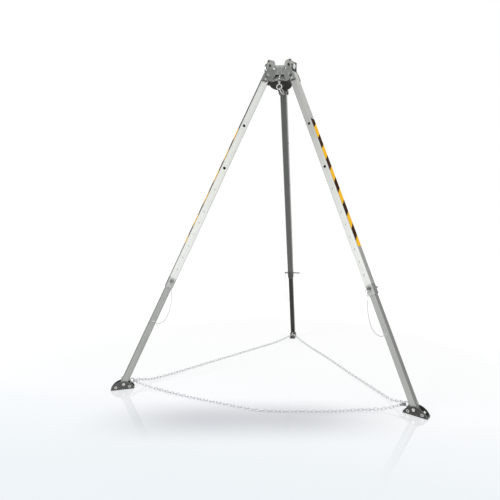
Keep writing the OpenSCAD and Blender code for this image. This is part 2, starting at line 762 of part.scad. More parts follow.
module half_moon() {
  intersection() {
    translate([foot_mid_r, foot_h - moon_r]) circle(r = moon_r, $fn = 96);
    translate([foot_mid_r - moon_half, sole_t]) square([foot_l, moon_rise]);
  }
}

module foot_bracket(a) color("dimgray") {
  at_station(a) difference() {
    union() {
      for (y = [plate_out, -plate_in]) {
        translate([0, y, 0]) rotate([90, 0, 0]) linear_extrude(foot_t) half_moon();
      }
      translate([foot_mid_r - moon_half, -plate_out, sole_t]) cube([foot_l, 2 * plate_out, 3]);
    }
    translate([foot_pivot_r, 0, foot_pivot_h]) cross_bar(foot_bolt_d, -plate_out - cut, plate_out + cut);
    for (x = [-1, 1]) {
      translate([foot_mid_r + x * anchor_hole_x, 0, anchor_hole_z])
        cross_bar(9, -plate_out - cut, plate_out + cut);
    }
  }
}

module foot_sole(a) color("black") {
  rib_w = 3;
  at_station(a) difference() {
    translate([foot_mid_r - moon_half, -plate_out, 0]) cube([foot_l, 2 * plate_out, sole_t]);
    for (k = [-5:5]) translate([foot_mid_r + k * 11 - rib_w / 2, -plate_out - cut, -cut])
      cube([rib_w, 2 * plate_out + 2 * cut, cut + rib_w / 2]);
  }
}

module foot_bolt(a) color("silver") {
  head_t = 5;
  at_station(a) translate([foot_pivot_r, 0, foot_pivot_h]) {
    cross_bar(foot_bolt_d, -plate_out - 9, plate_out);
    cross_bar(foot_bolt_d * 1.6, plate_out, plate_out + head_t);
    cross_hex(foot_bolt_d * 1.5, -plate_out - 7, -plate_out);
  }
}

// Floor chain

module chain_front(ends = false) color("silver") {
  chain(concat([hook(RIGHT, hang_low)], ROUTE_FRONT, [hook(LEFT, hang_low)]),
    quick_first + quick_next, ring_first, 90, ends);
}

module chain_right(ends = false) color("silver") {
  chain(concat([hook(RIGHT, hang_high)], ROUTE_RIGHT, [hook(REAR, hang_high)]),
    ring_first, ring_first, 0, ends);
}

module chain_left(ends = false) color("silver") {
  chain(concat([hook(LEFT, hang_high)], ROUTE_LEFT, [hook(REAR, hang_low)]),
    ring_first, ring_first, 0, ends);
}

// The links that rise from the floor to the chain eyes
module chain_ends() {
  chain_front(ends = true);
  chain_right(ends = true);
  chain_left(ends = true);
}

module quick_link() color("dimgray") {
  from = hook(RIGHT, hang_low);
  dir = unit(ROUTE_FRONT[0] - from);
  mid = from + quick_first * dir;
  sleeve_l = 12;
  translate([mid[0], mid[1] + axis_y, mid[2]]) rotate([0, -asin(dir[2]), atan2(dir[1], dir[0])]) {
    oval_link(quick_l, quick_w, quick_wire);
    translate([-sleeve_l / 2, (quick_w - quick_wire) / 2, 0]) rotate([0, 90, 0])
      cylinder(d = 8 / cos(30), h = sleeve_l, $fn = 6);
  }
}

head_casting();
pivot_bolts();
pivot_washers();
cheek_pads();
cheek_screws();
panel_screws();
sheave_axles();
keeper_pins();
sheave(LEFT);  // sheave_left
sheave(RIGHT);  // sheave_right
sheave(REAR);  // sheave_rear
eye_bolt();
hanging_link();
hanging_link_sleeve();
upper_tube(LEFT);  // upper_tube_left
upper_tube(RIGHT);  // upper_tube_right
upper_tube(REAR);  // upper_tube_rear
top_cap(LEFT);  // top_cap_left
top_cap(RIGHT);  // top_cap_right
top_cap(REAR);  // top_cap_rear
hazard_tape(LEFT);  // hazard_tape_left
hazard_tape(RIGHT);  // hazard_tape_right
hazard_tape(REAR);  // hazard_tape_rear
guide_pads(LEFT);  // guide_pads_left
guide_pads(RIGHT);  // guide_pads_right
guide_pads(REAR);  // guide_pads_rear
lower_tube(LEFT);  // lower_tube_left
lower_tube(RIGHT);  // lower_tube_right
lower_tube(REAR);  // lower_tube_rear
end_plug(LEFT);  // end_plug_left
end_plug(RIGHT);  // end_plug_right
end_plug(REAR);  // end_plug_rear
chain_eye(LEFT);  // chain_eye_left
chain_eye(RIGHT);  // chain_eye_right
chain_eye(REAR);  // chain_eye_rear
lanyard_anchor(LEFT);  // lanyard_anchor_left
lanyard_anchor(RIGHT);  // lanyard_anchor_right
lanyard_anchor(REAR);  // lanyard_anchor_rear
lock_pin(LEFT);  // lock_pin_left
lock_pin(RIGHT);  // lock_pin_right
lock_pin(REAR);  // lock_pin_rear
lanyard(LEFT);  // lanyard_left
lanyard(RIGHT);  // lanyard_right
lanyard(REAR);  // lanyard_rear
foot_bracket(LEFT);  // foot_bracket_left
foot_bracket(RIGHT);  // foot_bracket_right
foot_bracket(REAR);  // foot_bracket_rear
foot_sole(LEFT);  // foot_sole_left
foot_sole(RIGHT);  // foot_sole_right
foot_sole(REAR);  // foot_sole_rear
foot_bolt(LEFT);  // foot_bolt_left
foot_bolt(RIGHT);  // foot_bolt_right
foot_bolt(REAR);  // foot_bolt_rear
chain_front();
chain_left();
chain_right();
chain_ends();
quick_link();
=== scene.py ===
"""Looks of a rescue tripod: cast head, telescopic legs, swivel feet, floor chain and pin lanyards.

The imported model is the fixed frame. Its pieces get their finishes here, and the chain, its quick
link and the cords are modelled in the places that the frame holds for them. Lengths are in metres,
unless a docstring says millimetres.
"""

from __future__ import annotations

import json
import logging
import math
from dataclasses import dataclass, field, replace
from enum import Enum
from typing import Callable, Iterable, Sequence, Union

import bpy
from mathutils import Matrix, Vector

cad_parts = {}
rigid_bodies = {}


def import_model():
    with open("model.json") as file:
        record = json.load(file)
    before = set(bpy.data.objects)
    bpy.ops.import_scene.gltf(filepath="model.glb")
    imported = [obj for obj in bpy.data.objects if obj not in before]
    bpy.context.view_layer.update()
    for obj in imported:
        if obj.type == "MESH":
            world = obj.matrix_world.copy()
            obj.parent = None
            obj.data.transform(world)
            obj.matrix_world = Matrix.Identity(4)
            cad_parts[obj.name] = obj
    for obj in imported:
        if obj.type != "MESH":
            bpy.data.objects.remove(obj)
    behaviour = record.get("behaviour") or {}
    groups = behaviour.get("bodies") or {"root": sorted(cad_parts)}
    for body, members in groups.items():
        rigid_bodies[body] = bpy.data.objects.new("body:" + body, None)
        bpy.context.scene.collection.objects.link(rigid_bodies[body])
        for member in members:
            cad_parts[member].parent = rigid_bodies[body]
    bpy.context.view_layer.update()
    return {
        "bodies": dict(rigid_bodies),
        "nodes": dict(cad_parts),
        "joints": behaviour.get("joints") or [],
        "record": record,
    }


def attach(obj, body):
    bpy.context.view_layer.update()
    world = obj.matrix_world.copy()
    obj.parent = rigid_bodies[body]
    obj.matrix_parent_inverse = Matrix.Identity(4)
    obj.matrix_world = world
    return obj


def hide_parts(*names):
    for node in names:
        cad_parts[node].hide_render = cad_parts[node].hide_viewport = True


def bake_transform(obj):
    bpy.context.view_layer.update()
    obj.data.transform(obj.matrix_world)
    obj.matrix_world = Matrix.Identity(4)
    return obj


log = logging.getLogger("tripod")

Colour = tuple[float, float, float]
Point = tuple[float, float, float]
MM = 0.001
HAIR = 1e-5
UP: Point = (0.0, 0.0, 1.0)
DOWN: Point = (0.0, 0.0, -1.0)
WHITE: Colour = (1.0, 1.0, 1.0)


class Side(Enum):
    """The three legs by their direction round the axis, in degrees."""

    LEFT = 210.0
    RIGHT = 330.0
    REAR = 90.0

    @property
    def key(self) -> str:
        """The side's word in the names of nodes and bodies."""
        return self.name.lower()

    @property
    def grip(self) -> float:
        """1 where the lock pin's grip is on the leg's left-hand side, else -1."""
        return -1.0 if self is Side.RIGHT else 1.0


@dataclass(frozen=True)
class Stance:
    """How the tripod stands: the three leg lines, and the axis that they share.

    Args:
        apex: Height at which the leg lines meet.
        radius: Radius of the circle where the leg lines meet the floor.
        axis_y: Place of the tripod's axis along Y.
    """

    apex: float = 2.2
    radius: float = 0.95
    axis_y: float = -0.198399

    @property
    def tilt(self) -> float:
        """Angle of a leg from the vertical, in radians."""
        return math.atan2(self.radius, self.apex)

    def station(self, side: Side) -> Matrix:
        """The frame of a side: x outwards, y sideways, z up from the floor."""
        turn = Matrix.Rotation(math.radians(side.value), 4, "Z")
        return Matrix.Translation((0.0, self.axis_y, 0.0)) @ turn

    def leg(self, side: Side) -> Matrix:
        """The frame of a leg: x outwards, y sideways, z up the leg, zero at the apex."""
        raised = self.station(side) @ Matrix.Translation((0.0, 0.0, self.apex))
        return raised @ Matrix.Rotation(-self.tilt, 4, "Y")

    def on_leg(self, side: Side, x: float, y: float, s: float) -> Vector:
        """A point of a leg, s metres down the leg from the apex."""
        return self.leg(side) @ Vector((x, y, -s))


# Shader maths


class Signal:
    """A socket's value in a material. Sums and products of signals add Math nodes."""

    def __init__(self, paint: "Paint", socket: bpy.types.NodeSocket) -> None:
        """Wraps a socket of a material's tree."""
        self.paint = paint
        self.socket = socket

    def _math(self, operation: str, *values: "Value", clamp: bool = False) -> "Signal":
        """Adds one Math node.

        Args:
            operation: The node's operation.
            values: Its inputs, in order.
            clamp: Whether the result is kept from 0 to 1.

        Returns:
            The node's result.
        """
        settings = {"operation": operation, "use_clamp": clamp}
        return self.paint.node("ShaderNodeMath", settings, dict(enumerate(values)))

    def __add__(self, other: "Value") -> "Signal":
        """The sum."""
        return self._math("ADD", self, other)

    def __radd__(self, other: "Value") -> "Signal":
        """The sum, with the signal last."""
        return self._math("ADD", other, self)

    def __sub__(self, other: "Value") -> "Signal":
        """The difference."""
        return self._math("SUBTRACT", self, other)

    def __rsub__(self, other: "Value") -> "Signal":
        """The difference, with the signal last."""
        return self._math("SUBTRACT", other, self)

    def __mul__(self, other: "Value") -> "Signal":
        """The product."""
        return self._math("MULTIPLY", self, other)

    def __rmul__(self, other: "Value") -> "Signal":
        """The product, with the signal last."""
        return self._math("MULTIPLY", other, self)

    def __abs__(self) -> "Signal":
        """The size without its sign."""
        return self._math("ABSOLUTE", self)

    def over(self, level: "Value") -> "Signal":
        """1 where the signal is above a level, else 0."""
        return self._math("GREATER_THAN", self, level)

    def clamped(self) -> "Signal":
        """The signal kept from 0 to 1."""
        return self._math("ADD", self, 0.0, clamp=True)

    def remainder(self, step: float) -> "Signal":
        """What is left over a whole number of steps, never negative."""
        return self._math("FLOORED_MODULO", self, step)

    def ramp(self, low: float, high: float) -> "Signal":
        """A smooth rise from 0 at low to 1 at high."""
        return self.paint.node(
            "ShaderNodeMapRange",
            {"interpolation_type": "SMOOTHSTEP"},
            {"Value": self, "From Min": low, "From Max": high},
        )

    def root(self) -> "Signal":
        """The square root."""
        return self._math("SQRT", self)


Value = Union[Signal, float, int, tuple, Vector]


class Paint:
    """The nodes of one material or world, and the only place where they are made."""

    def __init__(self, name: str, library: str = "materials") -> None:
        """Makes a material or world with no nodes.

        Args:
            name: Its name.
            library: Which of the two it is, "materials" or "worlds".
        """
        self.owner = getattr(bpy.data, library).new(name)
        self.owner.use_nodes = True
        self.tree = self.owner.node_tree
        self.tree.nodes.clear()

    def add(
        self,
        kind: str,
        settings: dict[str, object] | None = None,
        inputs: dict[object, "Value"] | None = None,
    ) -> bpy.types.Node:
        """Adds a node, sets it up and links it.

        Args:
            kind: The node's type.
            settings: The node's own settings. "stops" holds a ramp's places and colours.
            inputs: Values or signals by socket name or number.

        Returns:
            The node.
        """
        made = self.tree.nodes.new(kind)
        for name, value in (settings or {}).items():
            if name != "stops":
                setattr(made, name, value)
                continue
            elements = made.color_ramp.elements
            while len(elements) < len(value):
                elements.new(1.0)
            for element, (place, colour) in zip(elements, value):
                element.position = place
                element.color = (*colour, 1.0)
        for name, value in (inputs or {}).items():
            socket = made.inputs[name]
            if isinstance(value, Signal):
                self.tree.links.new(value.socket, socket)
            elif socket.type == "RGBA":
                socket.default_value = (*value, 1.0)
            else:
                socket.default_value = value
        return made

    def node(
        self,
        kind: str,
        settings: dict[str, object] | None = None,
        inputs: dict[object, "Value"] | None = None,
        output: int | str = 0,
    ) -> Signal:
        """Adds a node and gives one of its outputs.

        Args:
            kind: The node's type.
            settings: The node's own settings.
            inputs: Values or signals by socket name or number.
            output: The output's name or number.

        Returns:
            The output as a signal.
        """
        return Signal(self, self.add(kind, settings, inputs).outputs[output])

    def place(self) -> Signal:
        """The point of the surface, in the object's own coordinates."""
        return self.node("ShaderNodeTexCoord", output="Object")

    def facing(self) -> Signal:
        """The direction that the surface faces, in the object's own coordinates."""
        return self.node("ShaderNodeTexCoord", output="Normal")

    def along(self, vector: Signal, direction: Sequence[float], start: float = 0.0) -> Signal:
        """How far a vector reaches along a direction, less a start."""
        reach = self.dot(vector, tuple(direction))
        return reach - start if start else reach

    def dot(self, first: "Value", second: "Value") -> Signal:
        """The scalar product of two vectors."""
        settings = {"operation": "DOT_PRODUCT"}
        return self.node("ShaderNodeVectorMath", settings, {0: first, 1: second}, "Value")

    def joined(self, x: "Value", y: "Value", z: "Value") -> Signal:
        """Three numbers as one vector."""
        return self.node("ShaderNodeCombineXYZ", None, {"X": x, "Y": y, "Z": z})

    def noise(self, at: Signal, scale: float, detail: float = 3.0, rough: float = 0.55) -> Signal:
        """Cloudy noise from 0 to 1.

        Args:
            at: The vector that it is read at.
            scale: Clouds per unit of the vector.
            detail: Octaves.
            rough: Strength of the finer octaves.

        Returns:
            The noise.
        """
        values = {"Vector": at, "Scale": scale, "Detail": detail, "Roughness": rough}
        return self.node("ShaderNodeTexNoise", None, values)

    def blend(self, share: "Value", first: "Value", second: "Value") -> Signal:
        """A colour between two, by a share of the second."""
        return self.node("ShaderNodeMix", {"data_type": "RGBA"}, {0: share, 6: first, 7: second}, 2)

    def scaled(self, colour: "Value", level: Signal) -> Signal:
        """A colour made darker or lighter by a level."""
        settings = {"operation": "SCALE"}
        return self.node("ShaderNodeVectorMath", settings, {0: colour, "Scale": level})

    def edges(self, radius: float) -> Signal:
        """1 on edges that stick out, 0 on flat faces.

        Args:
            radius: How far from an edge the surface counts as worn.

        Returns:
            The mask.
        """
        soft = self.node("ShaderNodeBevel", {"samples": 6}, {"Radius": radius})
        flat = self.node("ShaderNodeNewGeometry", output="Normal")
        return (1.0 - self.dot(soft, flat)).ramp(0.02, 0.22)

    def hollows(self, reach: float) -> Signal:
        """1 on open faces, falling to 0 in corners and recesses.

        Args:
            reach: How far a neighbouring face counts.

        Returns:
            The mask.
        """
        return self.node("ShaderNodeAmbientOcclusion", {"samples": 8}, {"Distance": reach}, "AO")

    def bump(self, height: Signal, strength: float, distance: float) -> Signal:
        """A normal that follows a height.

        Args:
            height: The height, from 0 to 1.
            strength: How much of it counts.
            distance: How far 1 stands out.

        Returns:
            The normal.
        """
        values = {"Height": height, "Strength": strength, "Distance": distance}
        return self.node("ShaderNodeBump", None, values)

    def surface(self, values: dict[str, "Value"]) -> bpy.types.Material:
        """Ends the material with a Principled surface.

        Args:
            values: Values or signals by socket name.

        Returns:
            The finished material.
        """
        return self.ended(self.node("ShaderNodeBsdfPrincipled", None, values))

    def ended(
        self, shader: Signal, kind: str = "ShaderNodeOutputMaterial"
    ) -> bpy.types.Material | bpy.types.World:
        """Ends the tree.

        Args:
            shader: What goes to the output.
            kind: Type of the output node.

        Returns:
            What the tree belongs to.
        """
        self.add(kind, None, {"Surface": shader})
        return self.owner


# Finishes


@dataclass(frozen=True)
class Finish:
    """A finish by name. It is made once and shared.

    Args:
        name: The material's name.
    """

    name: str

    def paint(self) -> bpy.types.Material:
        """Makes the material."""
        raise NotImplementedError

    def material(self) -> bpy.types.Material:
        """The material, made at its first use."""
        return bpy.data.materials.get(self.name) or self.paint()


@dataclass(frozen=True)
class CastAlloy(Finish):
    """Rough cast alloy with rubbed, lighter edges, painted shade and painted highlights.

    Args:
        tone: Colour of the cast skin.
        rubbed: Colour where it is rubbed.
        underside_shade: Painted shade: colour of the faces that face down.
        recess_face: Distance of a recess's face from the tripod's axis.
        recess_foot: Height of a recess's foot.
        recess_top: Height of a recess's top.
        seam: Distance of a panel's two painted highlight lines from its middle.
        ear_foot: Height above which the ears are painted lighter, as a painted highlight from
            above.
    """

    tone: Colour = (0.23, 0.235, 0.22)
    rubbed: Colour = (0.62, 0.62, 0.58)
    underside_shade: Colour = (0.018, 0.018, 0.016)
    recess_face: float = 0.048
    recess_foot: float = 1.936
    recess_top: float = 1.971
    seam: float = 0.012
    ear_foot: float = 2.005

    def _panel(self, p: "Paint", side: Side, shade: Signal) -> Signal:
        """Paints shade into one panel's recess, darker upwards, and two highlight lines above the
        recess.

        Args:
            p: The material's paint.
            side: The leg opposite the panel.
            shade: The colour so far.

        Returns:
            The colour.
        """
        frame = Stance().station(side)
        inward, sideways = -frame.to_3x3().col[0], frame.to_3x3().col[1]
        origin = frame.translation
        near, far = 0.0003, 0.0008
        at = p.place()
        z = p.along(at, UP)
        out = p.along(at, inward, origin.dot(inward))
        t = abs(p.along(at, sideways, origin.dot(sideways)))
        face = p.along(p.facing(), inward).ramp(0.7, 0.9)
        inside = face * out.ramp(self.recess_face + far, self.recess_face + near)
        inside = inside * out.ramp(self.recess_face - far, self.recess_face - near)
        depth = z.ramp(self.recess_foot, self.recess_top)
        # Painted shade in the recess: dark under its top, lighter at its foot.
        shade = p.blend(inside, shade, p.scaled(shade, 1.25 - 1.05 * depth))
        # Painted highlight lines on the panel above the recess.
        line = abs(t - self.seam).ramp(0.0016, 0.0008) * face * z.over(self.recess_top)
        return p.blend(0.5 * line, shade, self.rubbed)

    def paint(self) -> bpy.types.Material:
        """Makes the material."""
        p = Paint(self.name)
        at = p.place()
        clouds = p.noise(at, 45.0, 5.0)
        sand = p.noise(at, 900.0, 2.0, 0.7)
        worn = (p.edges(0.0022) * (0.55 + 0.9 * clouds)).clamped()
        shade = p.blend(clouds.ramp(0.35, 0.7), self.tone, tuple(1.25 * c for c in self.tone))
        # Painted shade: the colour darkens in corners and recesses.
        open_face = p.hollows(0.012).ramp(0.2, 0.85)
        shade = p.scaled(shade, 0.4 + 0.6 * open_face)
        # Painted highlight: the ears are drawn lighter towards the top.
        ears = p.along(at, UP).ramp(self.ear_foot, self.ear_foot + 0.02)
        shade = p.scaled(shade, 1.0 + 0.55 * ears)
        for side in Side:
            shade = self._panel(p, side, shade)
        # Painted shade: faces that face down are drawn near black.
        under = p.along(p.facing(), DOWN).ramp(0.4, 0.9)
        shade = p.blend(under, shade, self.underside_shade)
        return p.surface({
            "Base Color": p.blend(worn, shade, self.rubbed),
            "Metallic": 0.55,
            "Roughness": 0.62 - 0.2 * worn + 0.1 * sand,
            "Normal": p.bump(sand + 0.6 * clouds, 0.35, 0.0006),
        })


@dataclass(frozen=True)
class Tones:
    """Painted light and shade of a tube's faces.

    Args:
        sides: Of the faces beside the leg's plane, at the top and at the bottom.
        outer: Of the face that looks outwards, at the top and at the bottom.
        inner: Of the face that looks inwards.
    """

    sides: tuple[float, float]
    outer: tuple[float, float]
    inner: float


@dataclass(frozen=True)
class DrawnTube(Finish):
    """Drawn alloy tube of one leg with lengthwise grain, painted shading and painted shade round
    pin holes.

    Args:
        side: The leg.
        tones: Painted light and shade of its faces.
        span: Distances from the apex between which the painted shading changes.
        shaded_holes: Distances from the apex of the pin holes ringed with painted shade.
        hole_shade: Colour of that painted shade.
        collar: Distance of the dull end from the apex, 0 for none.
    """

    side: Side
    tones: Tones
    span: tuple[float, float]
    shaded_holes: tuple[float, ...] = ()
    hole_shade: Colour = (0.006, 0.006, 0.006)
    collar: float = 0.0

    def paint(self) -> bpy.types.Material:
        """Makes the material."""
        p = Paint(self.name)
        frame = Stance().leg(self.side)
        outward, sideways, up = (frame.to_3x3().col[k] for k in range(3))
        origin = frame.translation
        at, face = p.place(), p.facing()
        x = p.along(at, outward, origin.dot(outward))
        y = p.along(at, sideways, origin.dot(sideways))
        s = -1.0 * p.along(at, up, origin.dot(up))
        grain = p.noise(p.joined(x * 110.0, y * 110.0, s * 0.9), 1.0, 3.0, 0.5)
        smudge = p.noise(at, 7.0, 4.0)
        # Painted light and shade: each face is drawn lighter or darker by the way it faces and by
        # how far down the leg it is.
        turned = p.along(face, outward)
        radial = abs(turned).ramp(0.35, 0.92)
        down = s.ramp(*self.span)
        sides = p.blend(down, *(grey(tone) for tone in self.tones.sides))
        colour = p.blend((-1.0 * turned).ramp(0.5, 0.95), sides, grey(self.tones.inner))
        outer = p.blend(down, *(grey(tone) for tone in self.tones.outer))
        colour = p.blend(turned.ramp(0.25, 0.7), colour, outer)
        dulled = 0.06 * grain.ramp(0.42, 0.72) + 0.08 * smudge.ramp(0.5, 0.8)
        colour = p.scaled(colour, 1.0 - dulled)
        rough = 0.5 + 0.06 * grain + 0.08 * smudge
        # Painted shade: dark rings round the listed pin holes.
        for hole in self.shaded_holes:
            away = ((s - hole) * (s - hole) + x * x).root()
            rim = away.ramp(0.0098, 0.0078) * (1.0 - radial)
            colour = p.blend(rim, colour, self.hole_shade)
        if self.collar:
            ragged = s + 0.012 * p.noise(at, 60.0)
            end = ragged.ramp(self.collar, self.collar + 0.008)
            colour = p.scaled(colour, 1.0 - 0.25 * end)
            rough = rough + 0.12 * end
        return p.surface({
            "Base Color": colour,
            "Metallic": 0.82,
            "Roughness": rough,
            "Normal": p.bump(grain, 0.06, 0.0002),
        })


@dataclass(frozen=True)
class WarningBands(Finish):
    """Slanted yellow and black bands of the tape on one leg.

    Args:
        side: The leg.
        first: Distance of the first whole black band from the apex.
        band: Length of a yellow and a black band together.
        black: Length of a black band.
        slant: How far a band climbs across the tape, per metre of width.
        glow: Strength of a painted glow, with which the tape emits its own colours.
        colours: Colours of a yellow and a black band.
    """

    side: Side
    first: float = 0.738
    band: float = 0.152
    black: float = 0.076
    slant: float = 1.0
    glow: float = 0.18
    colours: tuple[Colour, Colour] = ((1.0, 0.55, 0.022), (0.042, 0.013, 0.005))

    def paint(self) -> bpy.types.Material:
        """Makes the material."""
        p = Paint(self.name)
        frame = Stance().leg(self.side)
        sideways, up = frame.to_3x3().col[1], frame.to_3x3().col[2]
        origin = frame.translation
        at = p.place()
        y = p.along(at, sideways, origin.dot(sideways))
        s = -1.0 * p.along(at, up, origin.dot(up))
        climbed = s - y * (self.slant * self.side.grip) - self.first + 4 * self.band
        phase = climbed.remainder(self.band)
        black = phase.ramp(self.black + 0.0008, self.black - 0.0008)
        dust = p.noise(at, 30.0, 5.0)
        scuff = p.noise(p.joined(y * 60.0, s * 500.0, 0.0), 1.0, 2.0).ramp(0.66, 0.78)
        colour = p.blend(black, *self.colours)
        colour = p.blend(0.06 * dust.ramp(0.5, 0.8), colour, (0.55, 0.42, 0.22))
        colour = p.blend(0.08 * scuff, colour, (0.6, 0.55, 0.45))
        return p.surface({
            "Base Color": colour,
            "Roughness": 0.6 + 0.2 * dust,
            "Specular IOR Level": 0.04,
            # Painted glow: the tape emits its colours though it is no lamp.
            "Emission Color": colour,
            "Emission Strength": self.glow,
            "Normal": p.bump(dust, 0.15, 0.0002),
        })


@dataclass(frozen=True)
class Plating(Finish):
    """Plated or blackened steel, rubbed on its edges, with painted light rings round some holes.

    Args:
        tone: Colour of the plating.
        rubbed: Colour where it is rubbed.
        metallic: How metallic it looks.
        roughness: Its mean roughness.
        edge: How far from an edge it is rubbed.
        spots: Share of dull spots.
        lit_holes: Holes ringed with painted light, each as leg, distance from the tripod's axis and
            height.
        rim: Radius of a painted light ring.
    """

    tone: Colour = (0.60, 0.60, 0.58)
    rubbed: Colour = (0.85, 0.85, 0.83)
    metallic: float = 0.9
    roughness: float = 0.34
    edge: float = 0.0009
    spots: float = 0.5
    lit_holes: tuple[tuple[Side, float, float], ...] = ()
    rim: float = 0.0075

    def _rimmed(self, p: "Paint") -> "Value":
        """1 on the painted light rings round the holes, 0 elsewhere."""
        mask = 0.0
        at = p.place()
        for side, reach, height in self.lit_holes:
            frame = Stance().station(side)
            outward = frame.to_3x3().col[0]
            x = p.along(at, outward, frame.translation.dot(outward) + reach)
            z = p.along(at, UP, height)
            mask = mask + (x * x + z * z).root().ramp(self.rim + 0.0004, self.rim - 0.0004)
        return mask

    def paint(self) -> bpy.types.Material:
        """Makes the material."""
        p = Paint(self.name)
        at = p.place()
        clouds = p.noise(at, 120.0, 4.0)
        fine = p.noise(at, 1400.0, 2.0)
        worn = (p.edges(self.edge) * (0.5 + clouds)).clamped()
        dull = tuple(0.45 * c for c in self.tone)
        shade = p.blend(self.spots * clouds.ramp(0.5, 0.75), self.tone, dull)
        # Painted light: bright rings round the listed holes.
        shade = p.blend(self._rimmed(p), shade, self.rubbed)
        return p.surface({
            "Base Color": p.blend(worn, shade, self.rubbed),
            "Metallic": self.metallic,
            "Roughness": self.roughness + 0.18 * clouds - 0.1 * worn,
            "Normal": p.bump(fine, 0.2, 0.0001),
        })


@dataclass(frozen=True)
class Moulding(Finish):
    """Moulded plastic or rubber with a fine grain.

    Args:
        tone: Its colour.
        scuffed: Colour of the scuffs.
        roughness: Its mean roughness.
        grain: Grains per metre.
    """

    tone: Colour = (0.02, 0.02, 0.021)
    scuffed: Colour = (0.10, 0.10, 0.10)
    roughness: float = 0.5
    grain: float = 1800.0

    def paint(self) -> bpy.types.Material:
        """Makes the material."""
        p = Paint(self.name)
        at = p.place()
        pits = p.noise(at, self.grain, 2.0, 0.6)
        clouds = p.noise(at, 60.0, 5.0)
        worn = (p.edges(0.0012) * clouds.ramp(0.35, 0.65)).clamped()
        scuffs = (worn + 0.35 * clouds.ramp(0.58, 0.75)).clamped()
        return p.surface({
            "Base Color": p.blend(scuffs, self.tone, self.scuffed),
            "Roughness": self.roughness + 0.2 * clouds,
            "Normal": p.bump(pits, 0.3, 0.0002),
        })


@dataclass(frozen=True)
class WireSheath(Finish):
    """Clear sheath over laid steel wire, by the piece's own map: u round the cord, v along it.

    Args:
        tone: Colour of the crowns of the wires.
        furrow: Colour between the wires.
        wires: Wires round the cord.
        lay: Wires passed per metre along the cord.
    """

    tone: Colour = (0.62, 0.62, 0.60)
    furrow: Colour = (0.20, 0.20, 0.19)
    wires: float = 6.0
    lay: float = 700.0

    def paint(self) -> bpy.types.Material:
        """Makes the material."""
        p = Paint(self.name)
        spot = p.node("ShaderNodeTexCoord", output="UV")
        turn = p.along(spot, (self.wires, 0.0, 0.0)) + p.along(spot, (0.0, self.lay, 0.0))
        strand = abs(turn.remainder(1.0) - 0.5) * 2.0
        return p.surface({
            "Base Color": p.blend(strand.ramp(0.1, 0.7), self.tone, self.furrow),
            "Metallic": 0.35,
            "Roughness": 0.35 + 0.2 * strand,
            "Coat Weight": 0.5,
            "Coat Roughness": 0.15,
            "Normal": p.bump(1.0 - strand, 0.5, 0.0003),
        })


def grey(level: float) -> Colour:
    """The slightly warm grey of bare alloy, by its level."""
    return (0.99 * level, level, 0.955 * level)


CAST = CastAlloy("cast_skin")
ZINC = Plating("zinc_plate")
CHAIN_ZINC = Plating(
    "chain_zinc", tone=(0.93, 0.88, 0.78), rubbed=(0.95, 0.93, 0.88), roughness=0.34, spots=0.3
)
DARK_ZINC = Plating(
    "dark_zinc", tone=(0.20, 0.20, 0.205), rubbed=(0.55, 0.55, 0.55), roughness=0.42
)
BLACK_STEEL = Plating("black_steel", tone=(0.02, 0.02, 0.02), rubbed=(0.2, 0.2, 0.2), metallic=0.4)
COATED_PLATE = Plating(
    "coated_plate", tone=(0.085, 0.087, 0.076), rubbed=(0.70, 0.70, 0.67),
    metallic=0.55, roughness=0.42, edge=0.0014,
)
SHEAVE_ALLOY = Plating("sheave_alloy", tone=(0.66, 0.66, 0.66), roughness=0.28, spots=0.2)
NYLON = Moulding("nylon", tone=(0.78, 0.77, 0.72), scuffed=(0.5, 0.49, 0.45), roughness=0.4)
BLACK_PLASTIC = Moulding("black_plastic")
RUBBER = Moulding(
    "black_rubber", tone=(0.014, 0.014, 0.014), scuffed=(0.06, 0.058, 0.055), roughness=0.75
)
SHEATH = WireSheath("wire_sheath")


# Making meshes


